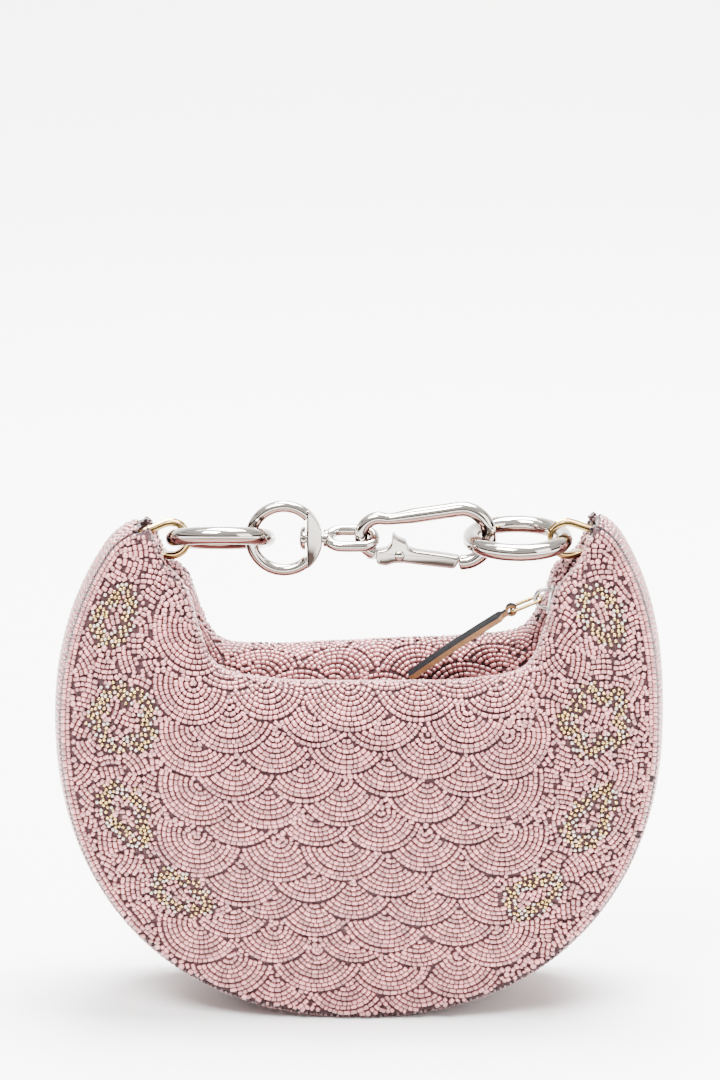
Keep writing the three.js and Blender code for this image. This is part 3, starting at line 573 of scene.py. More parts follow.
class Beads:
    """Accepted beads, kept apart by a hash of the points along them."""

    def __init__(self):
        self.rows, self.cells, self.run = [], {}, 0

    def free(self, samples, run, least):
        for x, y, z in samples:
            i, j, k = int(x // HASH_CELL), int(y // HASH_CELL), int(z // HASH_CELL)
            for a in (i - 1, i, i + 1):
                for b in (j - 1, j, j + 1):
                    for c in (k - 1, k, k + 1):
                        for px, py, pz, other in self.cells.get((a, b, c), ()):
                            if other != run and (px - x) ** 2 + (py - y) ** 2 + (pz - z) ** 2 < least:
                                return False
        return True

    def add(self, a, b, normal, kind, run, radius, least, part):
        length = np.linalg.norm(b - a)
        axis = (b - a) / length
        middle = (a + b) / 2
        reach = max(0.0, length / 2 - 0.55)
        samples = [middle + axis * s for s in ((-reach, 0, reach) if reach > 0.2 else (0,))]
        if not self.free(samples, run, least):
            return False
        for x, y, z in samples:
            cell = (int(x // HASH_CELL), int(y // HASH_CELL), int(z // HASH_CELL))
            self.cells.setdefault(cell, []).append((x, y, z, run))
        self.rows.append((*middle, *axis, *normal, length, radius, kind, part))
        return True

    def string(self, domain, flat, kinds, part, long=(1.1, 2.05), radius=BEAD_RADIUS, least=1.12):
        """Strings beads along a flat curve, at their true length on the surface."""
        points, normals, valid = domain.at(flat)
        if len(points) < 3:
            return
        self.run += 1
        for start, end in stretches(valid, np.linalg.norm(np.diff(points, axis=0), axis=1) > 1.0):
            p, n = points[start:end], normals[start:end]
            if len(p) < 3:
                continue
            walked = np.concatenate([[0], np.cumsum(np.linalg.norm(np.diff(p, axis=0), axis=1))])
            place = rng.uniform(0, 0.35)
            while True:
                length = rng.uniform(*long)
                if place + length > walked[-1]:
                    length = walked[-1] - place
                    if length < 0.9:
                        break
                ends = np.searchsorted(walked, (place + GAP, place + length - GAP, place + length / 2))
                near = np.clip(ends, 1, len(walked) - 1)
                share = (np.array((place + GAP, place + length - GAP)) - walked[near[:2] - 1])
                share = share / np.maximum(walked[near[:2]] - walked[near[:2] - 1], 1e-9)
                a, b = p[near[:2] - 1] + (p[near[:2]] - p[near[:2] - 1]) * share[:, None]
                kind = kinds[0][int(np.searchsorted(kinds[1], rng.random()))]
                self.add(a, b, n[near[2]], kind, self.run, radius, least ** 2, part)
                place += length


# Kinds of bead, and the running sum of each kind's share.
ALL_PINK = ((0,), (1.0,))
GOLDEN = ((1, 2), (0.85, 1.0))
SILVERY = ((1, 2, 0), (0.3, 0.9, 1.0))


def fan_row(centre, radius):
    """One arc of a fan, from side to side under its centre, with a hand's unevenness."""
    lift = math.radians(rng.uniform(10, 40))
    angle = np.arange(-math.pi - lift, lift, 0.22 / radius)
    reach = radius * (1 + 0.012 * np.sin(2 * angle + rng.uniform(0, 6)))
    return np.stack([centre[0] + reach * np.cos(angle), centre[1] + reach * np.sin(angle)], -1)


class Pattern:
    """Scallops in the middle and short curved rows beside them. Each flat point has one owner."""

    def __init__(self, low, high, left, right, bottom, top):
        fans = []
        row = 0
        height = top
        while height > bottom:
            shift = 10.3 * (row % 2)
            for x in np.arange(left + shift, right + 1, 20.6):
                centre = (x + rng.uniform(-2.0, 2.0), height + rng.uniform(-1.7, 1.7))
                fans.append((*centre, rng.uniform(10.8, 13.2)))
            height -= rng.uniform(6.4, 7.6)
            row += 1
        self.fans = np.array(fans)
        self.fans = self.fans[np.argsort(-self.fans[:, 1])]
        us, vs = np.meshgrid(np.arange(low[0], high[0], 6.6), np.arange(low[1], high[1], 6.2))
        seeds = np.stack([us.ravel(), vs.ravel()], -1)
        self.seeds = seeds + rng.uniform(-2.4, 2.4, seeds.shape)

        self.low, self.step = np.asarray(low, float) - 3, 0.3
        size = np.ceil((np.asarray(high) + 3 - self.low) / self.step).astype(int)
        self.size = size
        lines = (np.stack([np.full(size[1], i), np.arange(size[1])], -1) for i in range(size[0]))
        self.map = np.stack([self.decide(self.low + (line + 0.5) * self.step) for line in lines])

    def owner(self, flat):
        cell = np.clip(np.floor((flat - self.low) / self.step).astype(int), 0, self.size - 1)
        return self.map[cell[:, 0], cell[:, 1]]

    def decide(self, flat):
        away = np.hypot(flat[:, None, 0] - self.fans[None, :, 0], flat[:, None, 1] - self.fans[None, :, 1])
        inside = away < self.fans[None, :, 2]
        first = np.argmax(inside, 1)
        near = np.flatnonzero(np.abs(self.seeds[:, 0] - flat[0, 0]) < 12)
        gap = flat[:, None, :] - self.seeds[None, near, :]
        nearest = near[np.argmin((gap ** 2).sum(-1), 1)]
        return np.where(inside.any(1), first, len(self.fans) + nearest)

    def lay(self, beads, domain, part):
        def strung(path, owner):
            mine = self.owner(path) == owner
            for start, end in stretches(mine):
                beads.string(domain, path[start:end], ALL_PINK, part)

        for i, (x, z, radius) in enumerate(self.fans):
            for reach in np.arange(radius - 0.7, 0.5, -PITCH):
                strung(fan_row((x, z), reach), i)
        for i, seed in enumerate(self.seeds):
            turn, reach = rng.uniform(0, 2 * np.pi), rng.uniform(6, 16)
            centre = seed + reach * np.array([np.cos(turn), np.sin(turn)])
            for k in range(-5, 6):
                radius = reach + k * PITCH
                if radius > 0.7:
                    spread = min(np.pi, 7.5 / radius)
                    angle = np.arange(turn + np.pi - spread, turn + np.pi + spread, 0.22 / radius)
                    path = centre + radius * np.stack([np.cos(angle), np.sin(angle)], -1)
                    strung(path, len(self.fans) + i)


def leaf(centre, angle, length, width):
    t = np.linspace(0, 2 * np.pi, 120)
    x = length / 2 * np.cos(t)
    y = width / 2 * np.sin(t) * (1 - 0.35 * np.cos(t))
    c, s = math.cos(math.radians(angle)), math.sin(math.radians(angle))
    return np.stack([centre[0] + c * x - s * y, centre[1] + s * x + c * y], -1)


def rosette(centre, radius, petals, depth=0.4):
    t = np.linspace(0, 2 * np.pi, 200)
    reach = radius * (1 - depth + depth * np.abs(np.sin(petals * t / 2)) ** 0.7)
    return np.stack([centre[0] + reach * np.cos(t), centre[1] + reach * np.sin(t)], -1)


def stroke(beads, domain, path, part):
    """A beaded outline of small single beads, gold along its middle and silver along its edges."""
    tangent = unit(np.gradient(path, axis=0))
    out = np.stack([-tangent[:, 1], tangent[:, 0]], -1)
    length = np.linalg.norm(np.diff(path, axis=0), axis=1).sum()
    place = rng.integers(0, len(path), int(22 * length))
    offset = np.clip(rng.normal(0, 0.95, len(place)), -2.0, 2.0)
    points, normals, valid = domain.at(path[place] + out[place] * offset[:, None])
    for middle, normal, away in zip(points[valid], normals[valid], np.abs(offset[valid])):
        axis = unit(np.cross(normal, rng.normal(size=3))) * 0.47
        kinds = GOLDEN if away < 1.0 else SILVERY
        beads.run += 1
        kind = kinds[0][int(np.searchsorted(kinds[1], rng.random()))]
        beads.add(middle - axis, middle + axis, normal, kind, beads.run, 0.53, 0.95, part)


# The back's motifs are the front's in mirrored places.
MOTIFS = [
    lambda m: leaf((m * -66, 113), 62 * m, 14, 7.5),
    lambda m: rosette((m * -64, 86), 8.4, 5),
    lambda m: leaf((m * -63, 59), -60 * m, 17, 8.5),
    lambda m: leaf((m * -48, 37), -30 * m, 15, 8),
]


def panel_domains(side):
    s, grid = panel_grid(side, 521, 60)
    normals = grid_normals(grid, (0, side, 0))
    walked = np.concatenate([np.zeros((len(grid), 1)),
                             np.cumsum(np.linalg.norm(np.diff(grid, axis=1), axis=2), axis=1)], 1)
    belly, crest = 120, 60
    middle = grid[:, belly][:, [0, 2]]
    flat = middle[:, None, :] + s["along"][:, None, :] * (walked - walked[:, belly:belly + 1])[..., None]
    kept = slice(6, -6)
    face = Domain(flat[kept, crest:], grid[kept, crest:], normals[kept, crest:])
    rim = grid[:, crest // 2]
    along = np.concatenate([[0], np.cumsum(np.linalg.norm(np.diff(rim, axis=0), axis=1))])
    along -= along[len(along) // 2]
    down = walked[:, crest:crest + 1] - walked[:, :crest + 1]
    roll = np.stack([np.broadcast_to(along[:, None], down.shape), down], -1)
    return face, Domain(roll[kept], grid[kept, :crest + 1], normals[kept, :crest + 1])


def fill(beads, domain, part, spacing=0.8):
    """Single beads, turned at random, in the gaps that the rows leave."""
    low, high = domain.flat.min(0), domain.flat.max(0)
    us, vs = np.meshgrid(np.arange(low[0], high[0], spacing), np.arange(low[1], high[1], spacing))
    flat = np.stack([us.ravel(), vs.ravel()], -1)
    flat = flat + rng.uniform(-0.3, 0.3, flat.shape) * spacing
    points, normals, valid = domain.at(flat)
    for middle, normal in zip(points[valid], normals[valid]):
        beads.run += 1
        side = unit(np.cross(normal, rng.normal(size=3)))
        for axis in (side, np.cross(normal, side)):
            for half in (0.8, 0.55):
                reach = axis * half
                if beads.add(middle - reach, middle + reach, normal, 0, beads.run, BEAD_RADIUS, 1.02, part):
                    break


beads = Beads()
for part, side in ((0, -1), (1, 1)):
    face, roll = panel_domains(side)
    for flip in (1, -1):
        for motif in MOTIFS:
            stroke(beads, face, motif(flip), part)
    edge = face.flat.reshape(-1, 121, 2)
    inwards = unit(edge[:, -2] - edge[:, -1])
    for away in (0.6, 0.6 + PITCH):
        beads.string(face, (edge[:, -1] + inwards * away)[2:-2], ALL_PINK, part)
    inner = roll.flat.reshape(-1, 61, 2)
    beads.string(roll, inner[30:-30, 2], ALL_PINK, part + 4)
    low, high = face.flat.min(0), face.flat.max(0)
    Pattern(low, high, -44, 38, -16, 112).lay(beads, face, part)
    low, high = roll.flat.min(0), roll.flat.max(0)
    Pattern(low, high, -70, 60, -8, 30).lay(beads, roll, part + 4)
    fill(beads, face, part)
    fill(beads, roll, part + 4)

_, grid = gusset_grid(521, 80, widen=1.25)
normals = grid_normals(grid, (0, 0, -1))
middle = grid[:, 40]
along = np.concatenate([[0], np.cumsum(np.linalg.norm(np.diff(middle, axis=0), axis=1))])
across = grid[..., 1]
flat = np.stack([np.broadcast_to(along[:, None], across.shape), across], -1)
strip = Domain(flat, grid, normals)
for shift in np.arange(0.65, 24, PITCH):
    for row_side in (-1, 1):
        inset = np.maximum(np.abs(across[:, 0]) - shift, 0) * row_side
        path = np.stack([along, inset], -1)[np.abs(inset) > 0.45 * PITCH]
        beads.string(strip, path, ALL_PINK, 2)
fill(beads, strip, 2)

# Depth of the bevel at a bead's ends.
BEVEL = 0.16
rows = np.array(beads.rows)


def bead_mesh(name, rows, sectors, levels):
    """Beads as short tubes with bevelled ends, open where they rest on the cloth."""
    count, ring = len(rows), sectors + 1
    centre, axis, normal = rows[:, 0:3], rows[:, 3:6], unit(rows[:, 6:9])
    length, radius, kind = rows[:, 9], rows[:, 10], rows[:, 11].astype(int)
    normal = unit(normal - axis * (normal * axis).sum(1)[:, None])
    side = np.cross(axis, normal)
    centre = centre + normal * 0.38
    tilt = rng.normal(0, 0.05, count)
    axis = unit(axis + normal * tilt[:, None])
    centre[:, 2] = np.maximum(centre[:, 2], radius + 0.02)
    swell = radius * rng.uniform(0.94, 1.05, count)
    angle = np.radians(np.linspace(-22, 202, ring))
    around = (side[:, None, :] * np.cos(angle)[None, :, None]
              + normal[:, None, :] * np.sin(angle)[None, :, None])
    half = length / 2
    # Per ring along a bead, how much of its own colour survives the painted shade: the end rings, in the
    # gaps between beads, are painted darkest.
    if levels == 4:
        rings = [(-half, 0.66), (-half + BEVEL, 1.0), (half - BEVEL, 1.0), (half, 0.66)]
        painted_shade_by_ring = [0.2, 1, 1, 0.2]
    else:
        rings = [(-half, 0.72), (np.zeros(count), 1.04), (half, 0.72)]
        painted_shade_by_ring = [0.35, 1, 0.35]
    vertices = np.stack([
        centre[:, None, :] + axis[:, None, :] * at[:, None, None] + around * (swell * share)[:, None, None]
        for at, share in rings
    ], 1)
    base = np.arange(count)[:, None] * levels * ring
    quads = np.array([(i * ring + j, i * ring + j + 1, (i + 1) * ring + j + 1, (i + 1) * ring + j)
                      for i in range(levels - 1) for j in range(sectors)])
    caps = np.array([tuple(range(ring - 1, -1, -1)), tuple(range((levels - 1) * ring, levels * ring))])
    quad_loops = (base[:, :, None] + quads[None]).reshape(count, -1)
    cap_loops = (base[:, :, None] + caps[None]).reshape(count, -1)
    loops = np.concatenate([quad_loops, cap_loops], 1).ravel()
    sizes = np.tile([4] * len(quads) + [ring] * 2, count)
    mesh = bpy.data.meshes.new(name)
    mesh.vertices.add(count * levels * ring)
    mesh.vertices.foreach_set("co", (vertices * MM).astype(np.float32).ravel())
    mesh.loops.add(len(loops))
    mesh.loops.foreach_set("vertex_index", loops.astype(np.int32))
    mesh.polygons.add(len(sizes))
    starts = np.concatenate([[0], np.cumsum(sizes)[:-1]])
    mesh.polygons.foreach_set("loop_start", starts.astype(np.int32))
    smooth = np.tile([True] * len(quads) + [False] * 2, count)
    mesh.polygons.foreach_set("use_smooth", smooth)
    kinds = np.repeat(kind, len(quads) + 2).reshape(count, -1)
    # Both end caps take the near-black cap material: painted shade for the inside of the bead's hole.
    kinds[:, -2:] = 3
    for m in (PINK, GOLD_BEAD, SILVER_BEAD, HOLE_PAINTED_SHADE):
        mesh.materials.append(m)
    mesh.polygons.foreach_set("material_index", kinds.ravel().astype(np.int32))
    tint = mesh.attributes.new("tint", "FLOAT", "POINT")
    tint.data.foreach_set("value", np.repeat(rng.uniform(0, 1, count), levels * ring).astype(np.float32))
    # Painted shade: the colour turns dark on each bead's lower flanks, where it meets the cloth, and at its
    # ends.
    up = np.clip((np.sin(angle) + 0.37) / 1.15, 0, 1) ** 1.6
    shade = np.array(painted_shade_by_ring)[:, None] * up[None, :]
    depth = mesh.attributes.new("shade", "FLOAT", "POINT")
    depth.data.foreach_set("value", np.tile(shade.ravel(), count).astype(np.float32))
    mesh.update(calc_edges=True)
    mesh.validate()
    piece = bpy.data.objects.new(name, mesh)
    bpy.context.scene.collection.objects.link(piece)
    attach(piece, "bag")


# The most beads in one piece.
LIMIT = 5000
for part, name, sectors, levels in ((0, "front_beads", 5, 4), (1, "back_beads", 4, 3),
                                    (2, "gusset_beads", 4, 3), (4, "front_rim_beads", 4, 4),
                                    (5, "back_rim_beads", 4, 4)):
    chosen = rows[rows[:, 12] == part]
    chosen = chosen[np.argsort(chosen[:, 0], kind="stable")]
    parts = max(1, math.ceil(len(chosen) / LIMIT))
    for i, piece in enumerate(np.array_split(chosen, parts)):
        bead_mesh(f"{name}_{i + 1}" if parts > 1 else name, piece, sectors, levels)


def zip_line(lift, count):
    """Points along the zip's middle, the direction along it and the direction out of the bag."""
    s = section_at(np.linspace(-0.82, 0.82, count), -1)
    points = section_points(s, (s["valley"] - lift)[:, None], np.zeros((count, 1)))[:, 0]
    heading = unit(np.gradient(points, axis=0))
    return points, heading, unit(np.cross(heading, (0.0, 1.0, 0.0)))


points, heading, out = zip_line(0.1, 181)
across = np.array([-2.65, -2.0, -0.7, 0.7, 2.0, 2.65])
rise = np.array([0.25, 0.05, 0.0, 0.0, 0.05, 0.25])
tape = (points[:, None, :] + across[None, :, None] * np.array([0, 1, 0])
        + rise[None, :, None] * out[:, None, :])
shell("zip_tape_cloth", tape, tuple(out[90]), 0.8, [TAPE], "tape", ("zip_tape",))

line, headings, outs = zip_line(0.3, 2001)
walked = np.concatenate([[0], np.cumsum(np.linalg.norm(np.diff(line, axis=0), axis=1))])
TOOTH_PITCH = 0.85
places = np.arange(0.6, walked[-1] - 0.6, TOOTH_PITCH)
index = np.searchsorted(walked, places)
corners, quads = [], []
for n, i in enumerate(index):
    side = 1 if n % 2 else -1
    base = len(corners)
    for rise, shrink in ((0.0, 0.0), (0.75, 0.0), (1.0, 0.14)):
        for a, b in ((-1, -1), (1, -1), (1, 1), (-1, 1)):
            reach = -0.5 + shrink if b < 0 else 1.55 - shrink
            corners.append(line[i] + headings[i] * a * (0.36 - shrink / 2) + np.array([0, side * reach, 0])
                           + outs[i] * rise)
    for level in (0, 4):
        quads += [(base + level + k, base + level + (k + 1) % 4, base + level + 4 + (k + 1) % 4,
                   base + level + 4 + k) for k in range(4)]
    quads.append((base + 8, base + 9, base + 10, base + 11))
sharp_smooth(make("zip_tooth_rows", corners, quads, [DULL], slot="dull_metal", replaces=("zip_teeth",)), 30)

s = section_at(np.array([0.655, 0.705]), -1)
seat = s["valley"][0] - 2 * CLEARANCE - 1.2
seats = np.array([[seat], [s["valley"][1] - s["valley"][0] + seat]])
ends = section_points(s, seats, np.zeros((2, 1)))[:, 0]
slide_at, slide_along = ends[0], unit(ends[1] - ends[0])
slide_out = unit(np.cross(slide_along, (0.0, 1.0, 0.0)))


def on_slider(vertices):
    v = np.asarray(vertices, float)
    return slide_at + v[:, 0:1] * slide_along + v[:, 1:2] * np.array([0, 1, 0]) + v[:, 2:3] * slide_out


body_outline = np.concatenate([arc((2.6, 0), 1.5, -62, 62, 8), arc((-2.5, 0), 1.7, 118, 242, 8)])
wide = np.array([1, 1.45])
v, f = plate(body_outline * wide, 0.55)
lower, upper = v[:, [0, 2, 1]] + (0, 0, 0.3), v[:, [0, 2, 1]] + (0, 0, 1.3)
half = 2.75
bridge = in_plane(np.concatenate([[(half, 0.8)], arc((0, 2.25), 1.0, 0, 180, 20) * (half, 1.0),
                                  [(-half, 0.8)]]))
bridge[1:-1, 2] = 2.25 + np.sin(np.linspace(0, np.pi, 21)) * 3.1
bridge_tube = tube(smooth_path(bridge, 2), 0.62, 12)
vertices, faces = joined((lower, f), (upper, f), bridge_tube)
piece = make("zip_slider_body", on_slider(vertices), faces, [DULL], slot="dull_metal",
             replaces=("zip_slider",))
sharp_smooth(piece)
modify(piece, "BEVEL", width=0.15 * MM, segments=2, limit_method="ANGLE")

# The link hangs in the bridge, and the leather tab hangs from it.
LINK_DROOP, TAB_DROOP = math.radians(23), math.radians(34.5)
TAB_END = 33.6
anchor = slide_at + slide_out * (1.6 + 4.4 - 0.65 - (1.3 + 1.0) / 2 - CLEARANCE)
fall = np.array([-math.cos(LINK_DROOP), 0, -math.sin(LINK_DROOP)])
x, z = (9.8 - 1) / 2 - 1.1, (6.2 - 1) / 2 - 1.1
loop = np.concatenate([arc(c, 1.1, a, a + 90, 8) for c, a in
                       (((x, z), 0), ((-x, z), 90), ((-x, -z), 180), ((x, -z), 270))])
v, f = tube(in_plane(loop), 0.5, 12, closed=True)
v = turned(turned(v, 90, "X"), -23, "Y", anchor + fall * 4.4)
make("pull_link", v, f, [GOLD], slot="gold", replaces=("puller_link",))


def leather_tab():
    """A strap with a folded eye: black faces, tan edges."""
    eye = anchor + fall * 8.8
    rows, columns = 46, 9
    reach = np.concatenate([np.linspace(1.2, 4.4, 12), np.linspace(4.7, TAB_END, rows - 12)])
    ease = np.clip((reach - 2.6) / 1.3, 0, 1)
    half = 1.35 + (3.1 - 1.35) * ease * ease * (3 - 2 * ease)
    tail = np.clip((TAB_END - reach) / 1.1, 0, 1)
    half = half * (0.82 + 0.18 * np.sqrt(tail))
    bend = 0.35 * np.sin(reach / TAB_END * np.pi)
    share = np.linspace(-1, 1, columns)
    thick = 0.8 * (1 - 0.12 * np.abs(share) ** 4)
    grids = []
    for sign in (1, -1):
        g = np.zeros((rows, columns, 3))
        g[..., 0], g[..., 1] = reach[:, None], half[:, None] * share[None, :]
        g[..., 2] = sign * thick[None, :] - bend[:, None]
        grids.append(g)
    vertices = np.concatenate([g.reshape(-1, 3) for g in grids])
    shift = rows * columns
    faces = grid_faces(rows, columns, 0) + grid_faces(rows, columns, shift, True)
    kinds = [0] * len(faces)
    for a, b in rim_pairs(rows, columns):
        faces.append((a, b, b + shift, a + shift))
        kinds.append(1)
    outer = arc((0, 0), 1.6, 28, 332, 22)
    inner = arc((0, 0), 0.85, 28, 332, 22)
    start = len(vertices)
    ring = np.array([(x, y, z) for y in (-1.35, 1.35) for circle in (outer, inner) for x, z in circle])
    vertices = np.concatenate([vertices, ring])
    count = len(outer)
    o0, i0, o1, i1 = (start + k * count for k in range(4))
    for k in range(count - 1):
        faces += [(o0 + k, o0 + k + 1, o1 + k + 1, o1 + k), (i0 + k, i1 + k, i1 + k + 1, i0 + k + 1),
                  (o0 + k, i0 + k, i0 + k + 1, o0 + k + 1), (o1 + k, o1 + k + 1, i1 + k + 1, i1 + k)]
        kinds += [0, 0, 1, 1]
    turn = math.pi - TAB_DROOP
    c, s_ = math.cos(turn), math.sin(turn)
    v = vertices.copy()
    v[:, 0], v[:, 2] = c * vertices[:, 0] + s_ * vertices[:, 2], -s_ * vertices[:, 0] + c * vertices[:, 2]
    return v + eye, faces, kinds


v, f, kinds = leather_tab()
sharp_smooth(make("pull_tab", v, f, [LEATHER, EDGE], slot="leather", replaces=("puller_tab",),
                  indices=kinds), 50)


# Heights, wires and places of the handle's links.
HANDLE = 131.5
RING_LINE, RING_WIRE = 12.65, 4.7


def horn_edge(share):
    return float(section_at(np.array([share]), -1)["rim"][0, 0])


LEFT_X = horn_edge(-0.915) + 4.6 + RING_LINE
RIGHT_X = horn_edge(0.915) - 6.0 - RING_LINE
SWIVEL_LINE = 9.0
SWIVEL_X = LEFT_X + RING_LINE - (RING_WIRE + 3.2) / 2 - 0.5 + SWIVEL_LINE
BAR_INNER, BAR_OUTER = SWIVEL_X + 6.2, SWIVEL_X + 10.4
NECK_END = BAR_OUTER + CLEARANCE + 1.4
EYE_X = NECK_END + 7.6 - 1.35
HOOK_X = EYE_X + 7.6 - 1.35 - (2.7 + 3.6) / 2 - 0.5 - 1.8
HOOK_Z = HANDLE + 0.7
HOOK_LENGTH = RIGHT_X - RING_LINE + (4.1 + RING_WIRE) / 2 + 0.5 + 2.05 - HOOK_X
BOW = HOOK_LENGTH - 2.05 - 7.6


def full_circle(radius, steps):
    angle = np.linspace(0, 2 * np.pi, steps, endpoint=False)
    return np.stack([radius * np.cos(angle), radius * np.sin(angle), np.zeros(steps)], -1)


for name, x, tilt, node in (("ring_left", LEFT_X, -19.5, "end_ring_left"),
                            ("ring_right", RIGHT_X, 2, "end_ring_right")):
    v, f = tube(full_circle(RING_LINE, 96), RING_WIRE / 2, 32, closed=True, across=(0, 0, 1))
    make(name, turned(v, tilt, "X", (x, 0, HANDLE)), f, [NICKEL], slot="nickel", replaces=(node,))

wire = tube(in_plane(arc((SWIVEL_X, HANDLE), SWIVEL_LINE, 43, 317, 80)), 1.6, 28)
flat = arc((SWIVEL_X, HANDLE), 10.55, -52, 52, 30)
flat = flat[flat[:, 0] <= BAR_OUTER]
bar = np.concatenate([[(BAR_INNER, flat[0, 1])], flat, [(BAR_INNER, flat[-1, 1])]])
bar[:, 0] = np.clip(bar[:, 0], BAR_INNER, BAR_OUTER)
make("swivel_wire", *wire, [NICKEL], slot="nickel", replaces=("swivel_ring",))
sharp_smooth(make("swivel_bar", *rounded_plate(bar, 3.5, 0.5), [NICKEL], slot="nickel"), 60)

stem = lathe([(BAR_INNER - 2.0, 0.3), (BAR_INNER - 1.95, 1.8), (BAR_INNER - 1.6, 2.7),
              (BAR_INNER - 1.0, 3.15), (BAR_INNER - 0.35, 3.15), (BAR_INNER - 0.3, 1.3),
              (BAR_OUTER + 0.3, 1.3), (BAR_OUTER + 0.32, 2.2), (BAR_OUTER + 0.7, 2.4),
              (NECK_END - 0.3, 2.4), (NECK_END + 0.5, 1.7)], 32, "X", (0, 0, HANDLE))
sharp_smooth(make("swivel_stem", *stem, [NICKEL], slot="nickel"), 40)
reach, half = (15.2 - 2.7) / 2 - (10.4 - 2.7) / 2, (10.4 - 2.7) / 2
path = np.concatenate([arc((reach, 0), half, -90, 90, 28)[:-1], [(0, half)],
                       arc((-reach, 0), half, 90, 270, 28)[:-1], [(0, -half)]])
v, f = tube(in_plane(path), 1.5, 24, closed=True)
make("eye_loop", turned(v, 110, "X", (EYE_X, 0, HANDLE)), f, [NICKEL], slot="nickel",
     replaces=("swivel_eye",))


def hook_wire():
    """Control points and radii of the hook's wire, from its stub to its nose."""
    end = 5.0
    centre = 1.8 + end
    stub = math.degrees(math.asin((centre - 5.3) / end))
    first = arc((centre, 0), end, -90 - stub, -270, 9)
    turns = [(*p, 1.8) for p in first]
    turns += [(8.8, end - 0.3, 1.62), (10.8, end - 0.15, 1.65)]
    for t in (0.3, 0.52, 0.74, 0.93):
        turns.append((9.8 + (BOW - 9.8) * t, end - 0.3 + (7.6 - end + 0.3) * t, 2.05))
    turns += [(*p, 2.05) for p in arc((BOW, 0), 7.6, 83, -90, 11)]
    dense = smooth_path(turns, 8)
    start, tail = dense[0].copy(), dense[-1].copy()
    heading = unit(dense[-1, :2] - dense[-2, :2])
    close = [(tail[0] + heading[0] * d, tail[1] + heading[1] * d, tail[2] * k)
             for d, k in ((0.35, 0.93), (0.6, 0.75), (0.7, 0.4))]
    heading = unit(dense[0, :2] - dense[1, :2])
    open_ = [(start[0] + heading[0] * d, start[1] + heading[1] * d, start[2] * k)
             for d, k in ((0.3, 0.6), (0.22, 0.85))]
    return np.array([*open_, *dense, *close])


turns = hook_wire()
wire = tube(in_plane(turns[:, :2] + (HOOK_X, HOOK_Z)), turns[:, 2], 28)
tongue = np.concatenate([[(3.5, -6.4)], arc((12.3, -5.1), 1.6, -90, 90, 16), [(3.5, -3.8)]])
vertices, faces = joined(wire, plate(tongue, 1.5, (HOOK_X, HOOK_Z)))
sharp_smooth(make("hook_wire", vertices, faces, [NICKEL], slot="nickel", replaces=("hook_body",)), 40)

gate_points = [
    (5.9, -3.75), (6.0, -7.2), (6.4, -7.75), (8.7, -8.1), (10.9, -7.35), (13.5, -7.3), (17.1, -7.8),
    (22.0, -8.4),
    (27.1, -9.0), (27.5, -8.8), (29.0, -6.1), (28.7, -5.65), (23.0, -4.75), (17.2, -3.95), (15.3, -3.4),
    (14.5, -2.6), (14.45, -1.6), (14.1, -1.2), (13.1, -0.9), (12.1, -0.4), (11.3, 0.3), (10.8, 0.95),
    (10.45, 1.05), (10.2, 0.7), (10.25, -0.6), (10.0, -2.0), (9.0, -3.2), (7.5, -3.6),
]
sharp_smooth(make("gate_lever", *rounded_plate(gate_points, 3.9, 0.7, (HOOK_X, HOOK_Z)), [NICKEL],
                  body="gate", slot="nickel", replaces=("hook_gate",)), 60)
rivet_x, rivet_z = HOOK_X + 12.3, HOOK_Z - 5.1
profile = [(-2.85, 0.2), (-2.8, 0.8), (-2.6, 1.25), (-2.3, 1.4), (-2.0, 1.4), (-1.98, 0.8),
           (1.98, 0.8), (2.0, 1.4), (2.3, 1.4), (2.6, 1.25), (2.8, 0.8), (2.85, 0.2)]
sharp_smooth(make("gate_rivet_pin", *lathe(profile, 28, "Y", (rivet_x, 0, rivet_z)), [NICKEL],
                  slot="nickel", replaces=("gate_rivet",)), 45)


def gold_band(name, side, ring_x, node):
    """A strap of gold round the post in the horn and the end ring, with raised lips."""
    s = section_at(np.array([side * 0.915]), -1)
    post = section_points(s, 0.4 * s["length"][:, None], np.zeros((1, 1)))[0, 0]
    ring = np.array([ring_x, 0, HANDLE])
    to_ring = unit(ring - post)
    inner_ring, inner_post = 5.0 - 1.1, 2.9 - 1.1
    ring_at = ring + to_ring * (RING_WIRE / 2 + 0.8 - inner_ring)
    post_at = post - to_ring * (0.8 + CLEARANCE - inner_post)
    line = ring_at - post_at
    heading = math.degrees(math.atan2(line[2], line[0]))
    spread = math.degrees(math.acos((inner_post - inner_ring) / np.linalg.norm(line)))
    a = arc(ring_at[[0, 2]], inner_ring, heading - spread, heading + spread, 30)
    b = arc(post_at[[0, 2]], inner_post, heading + spread, heading - spread + 360, 24)
    path = in_plane(np.concatenate([a, b]))
    away = path - np.where(np.arange(len(path))[:, None] < len(a), ring_at, post_at)
    away[:, 1] = 0
    away = unit(away)
    profile = [(-1.9, 0.15), (-1.95, 1.1), (-1.75, 1.4), (-1.45, 1.42), (-1.2, 1.1), (1.2, 1.1),
               (1.45, 1.42), (1.75, 1.4), (1.95, 1.1), (1.9, 0.15), (1.6, 0.0), (-1.6, 0.0)]
    rings = np.stack([path + away * h + np.array([0, y, 0]) for y, h in profile], 1)
    vertices = rings.reshape(-1, 3)
    faces = grid_faces(len(path), len(profile), closed_rows=True, closed_columns=True)
    sharp_smooth(make(name, vertices, faces, [GOLD], slot="gold", replaces=(node,)), 50)


gold_band("band_left", -1, LEFT_X - RING_LINE, "gold_band_left")
gold_band("band_right", 1, RIGHT_X + RING_LINE, "gold_band_right")
for node in ("post_left", "post_right"):
    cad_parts[node].data.materials.clear()
    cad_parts[node].data.materials.append(DULL)


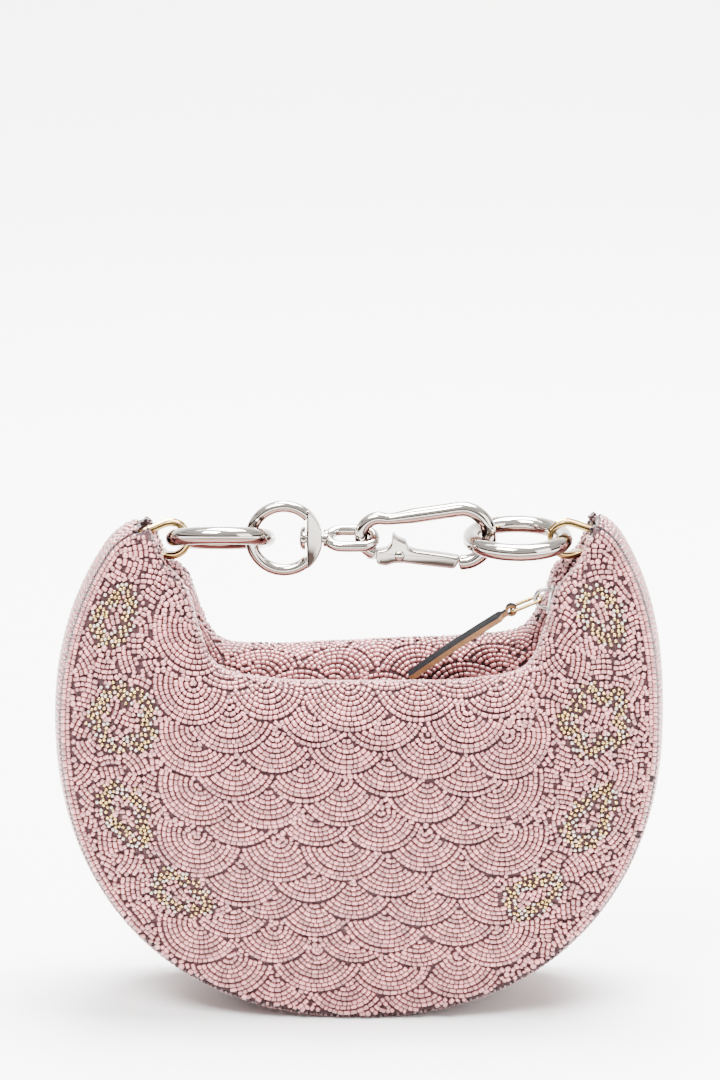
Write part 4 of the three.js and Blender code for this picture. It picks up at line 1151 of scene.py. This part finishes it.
def backdrop():
    """A floor that curves up into a wall behind the object."""
    profile = [(-3.0, 0.0), (1.2, 0.0)]
    profile += [(1.2 + 0.8 * math.sin(a), 0.8 - 0.8 * math.cos(a))
                for a in np.linspace(0.1, math.pi / 2, 14)]
    profile.append((2.0, 3.2))
    vertices = [(x, y, z) for y, z in profile for x in (-4.0, 4.0)]
    faces = [(2 * i, 2 * i + 1, 2 * i + 3, 2 * i + 2) for i in range(len(profile) - 1)]
    mesh = bpy.data.meshes.new("backdrop")
    mesh.from_pydata(vertices, [], faces)
    mesh.polygons.foreach_set("use_smooth", np.ones(len(mesh.polygons), bool))
    mesh.materials.append(material("paper", (0.86, 0.855, 0.845), roughness=0.9, specular=0.1,
                                   variation=0.01, scale=3))
    piece = bpy.data.objects.new("backdrop", mesh)
    bpy.context.scene.collection.objects.link(piece)
    piece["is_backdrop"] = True


backdrop()


def area_light(name, place, target, size, power, colour=(1, 1, 1)):
    light = bpy.data.lights.new(name, "AREA")
    light.shape = "RECTANGLE"
    light.size, light.size_y = size
    light.energy = power
    light.color = colour
    lamp = bpy.data.objects.new(name, light)
    lamp.location = place
    lamp.rotation_mode = "QUATERNION"
    lamp.rotation_quaternion = (Vector(target) - Vector(place)).to_track_quat("-Z", "Y")
    bpy.context.scene.collection.objects.link(lamp)


area_light("key", (-0.5, -0.8, 1.5), (0, 0, 0.07), (0.9, 0.6), 80)
area_light("top", (0.2, 0.3, 1.6), (0, 0, 0.07), (1.3, 0.9), 240)
area_light("wall", (0, 0.4, 2.0), (0, 2.0, 0.9), (2.5, 0.8), 75)
area_light("fill", (1.3, -0.9, 0.6), (0, 0, 0.07), (0.9, 0.9), 14)
world = bpy.data.worlds.new("studio")
world.use_nodes = True
nodes, links = world.node_tree.nodes, world.node_tree.links
nodes["Background"].inputs["Strength"].default_value = 1.0
place = nodes.new("ShaderNodeTexCoord").outputs["Generated"]
split = nodes.new("ShaderNodeSeparateXYZ")
links.new(place, split.inputs["Vector"])
heights = nodes.new("ShaderNodeValToRGB")
heights.color_ramp.elements[0].position = 0.0
heights.color_ramp.elements[0].color = (0.5, 0.47, 0.45, 1)
heights.color_ramp.elements[1].position = 1.0
heights.color_ramp.elements[1].color = (1, 0.995, 0.985, 1)
for position, colour in ((0.02, (0.05, 0.04, 0.035, 1)), (0.2, (0.07, 0.055, 0.05, 1)),
                         (0.27, (0.9, 0.89, 0.88, 1)), (0.42, (1, 0.99, 0.98, 1)),
                         (0.5, (0.35, 0.33, 0.32, 1)), (0.6, (1, 0.99, 0.98, 1))):
    heights.color_ramp.elements.new(position).color = colour
links.new(split.outputs["Z"], heights.inputs["Fac"])
links.new(heights.outputs["Color"], nodes["Background"].inputs["Color"])
bpy.context.scene.world = world

lens = bpy.data.cameras.new("camera")
lens.sensor_fit = "VERTICAL"
lens.sensor_height = 36
lens.lens = 159.2
camera = bpy.data.objects.new("camera", lens)
elevation, distance = math.radians(16), 1.3
target = Vector((0.0003, 0, 0.131))
back = Vector((0, -math.cos(elevation), math.sin(elevation)))
camera.location = target + back * distance
camera.rotation_mode = "QUATERNION"
camera.rotation_quaternion = (-back).to_track_quat("-Z", "Y")
lens.clip_start, lens.clip_end = 0.05, 50
bpy.context.scene.collection.objects.link(camera)
bpy.context.scene.camera = camera

low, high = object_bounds()
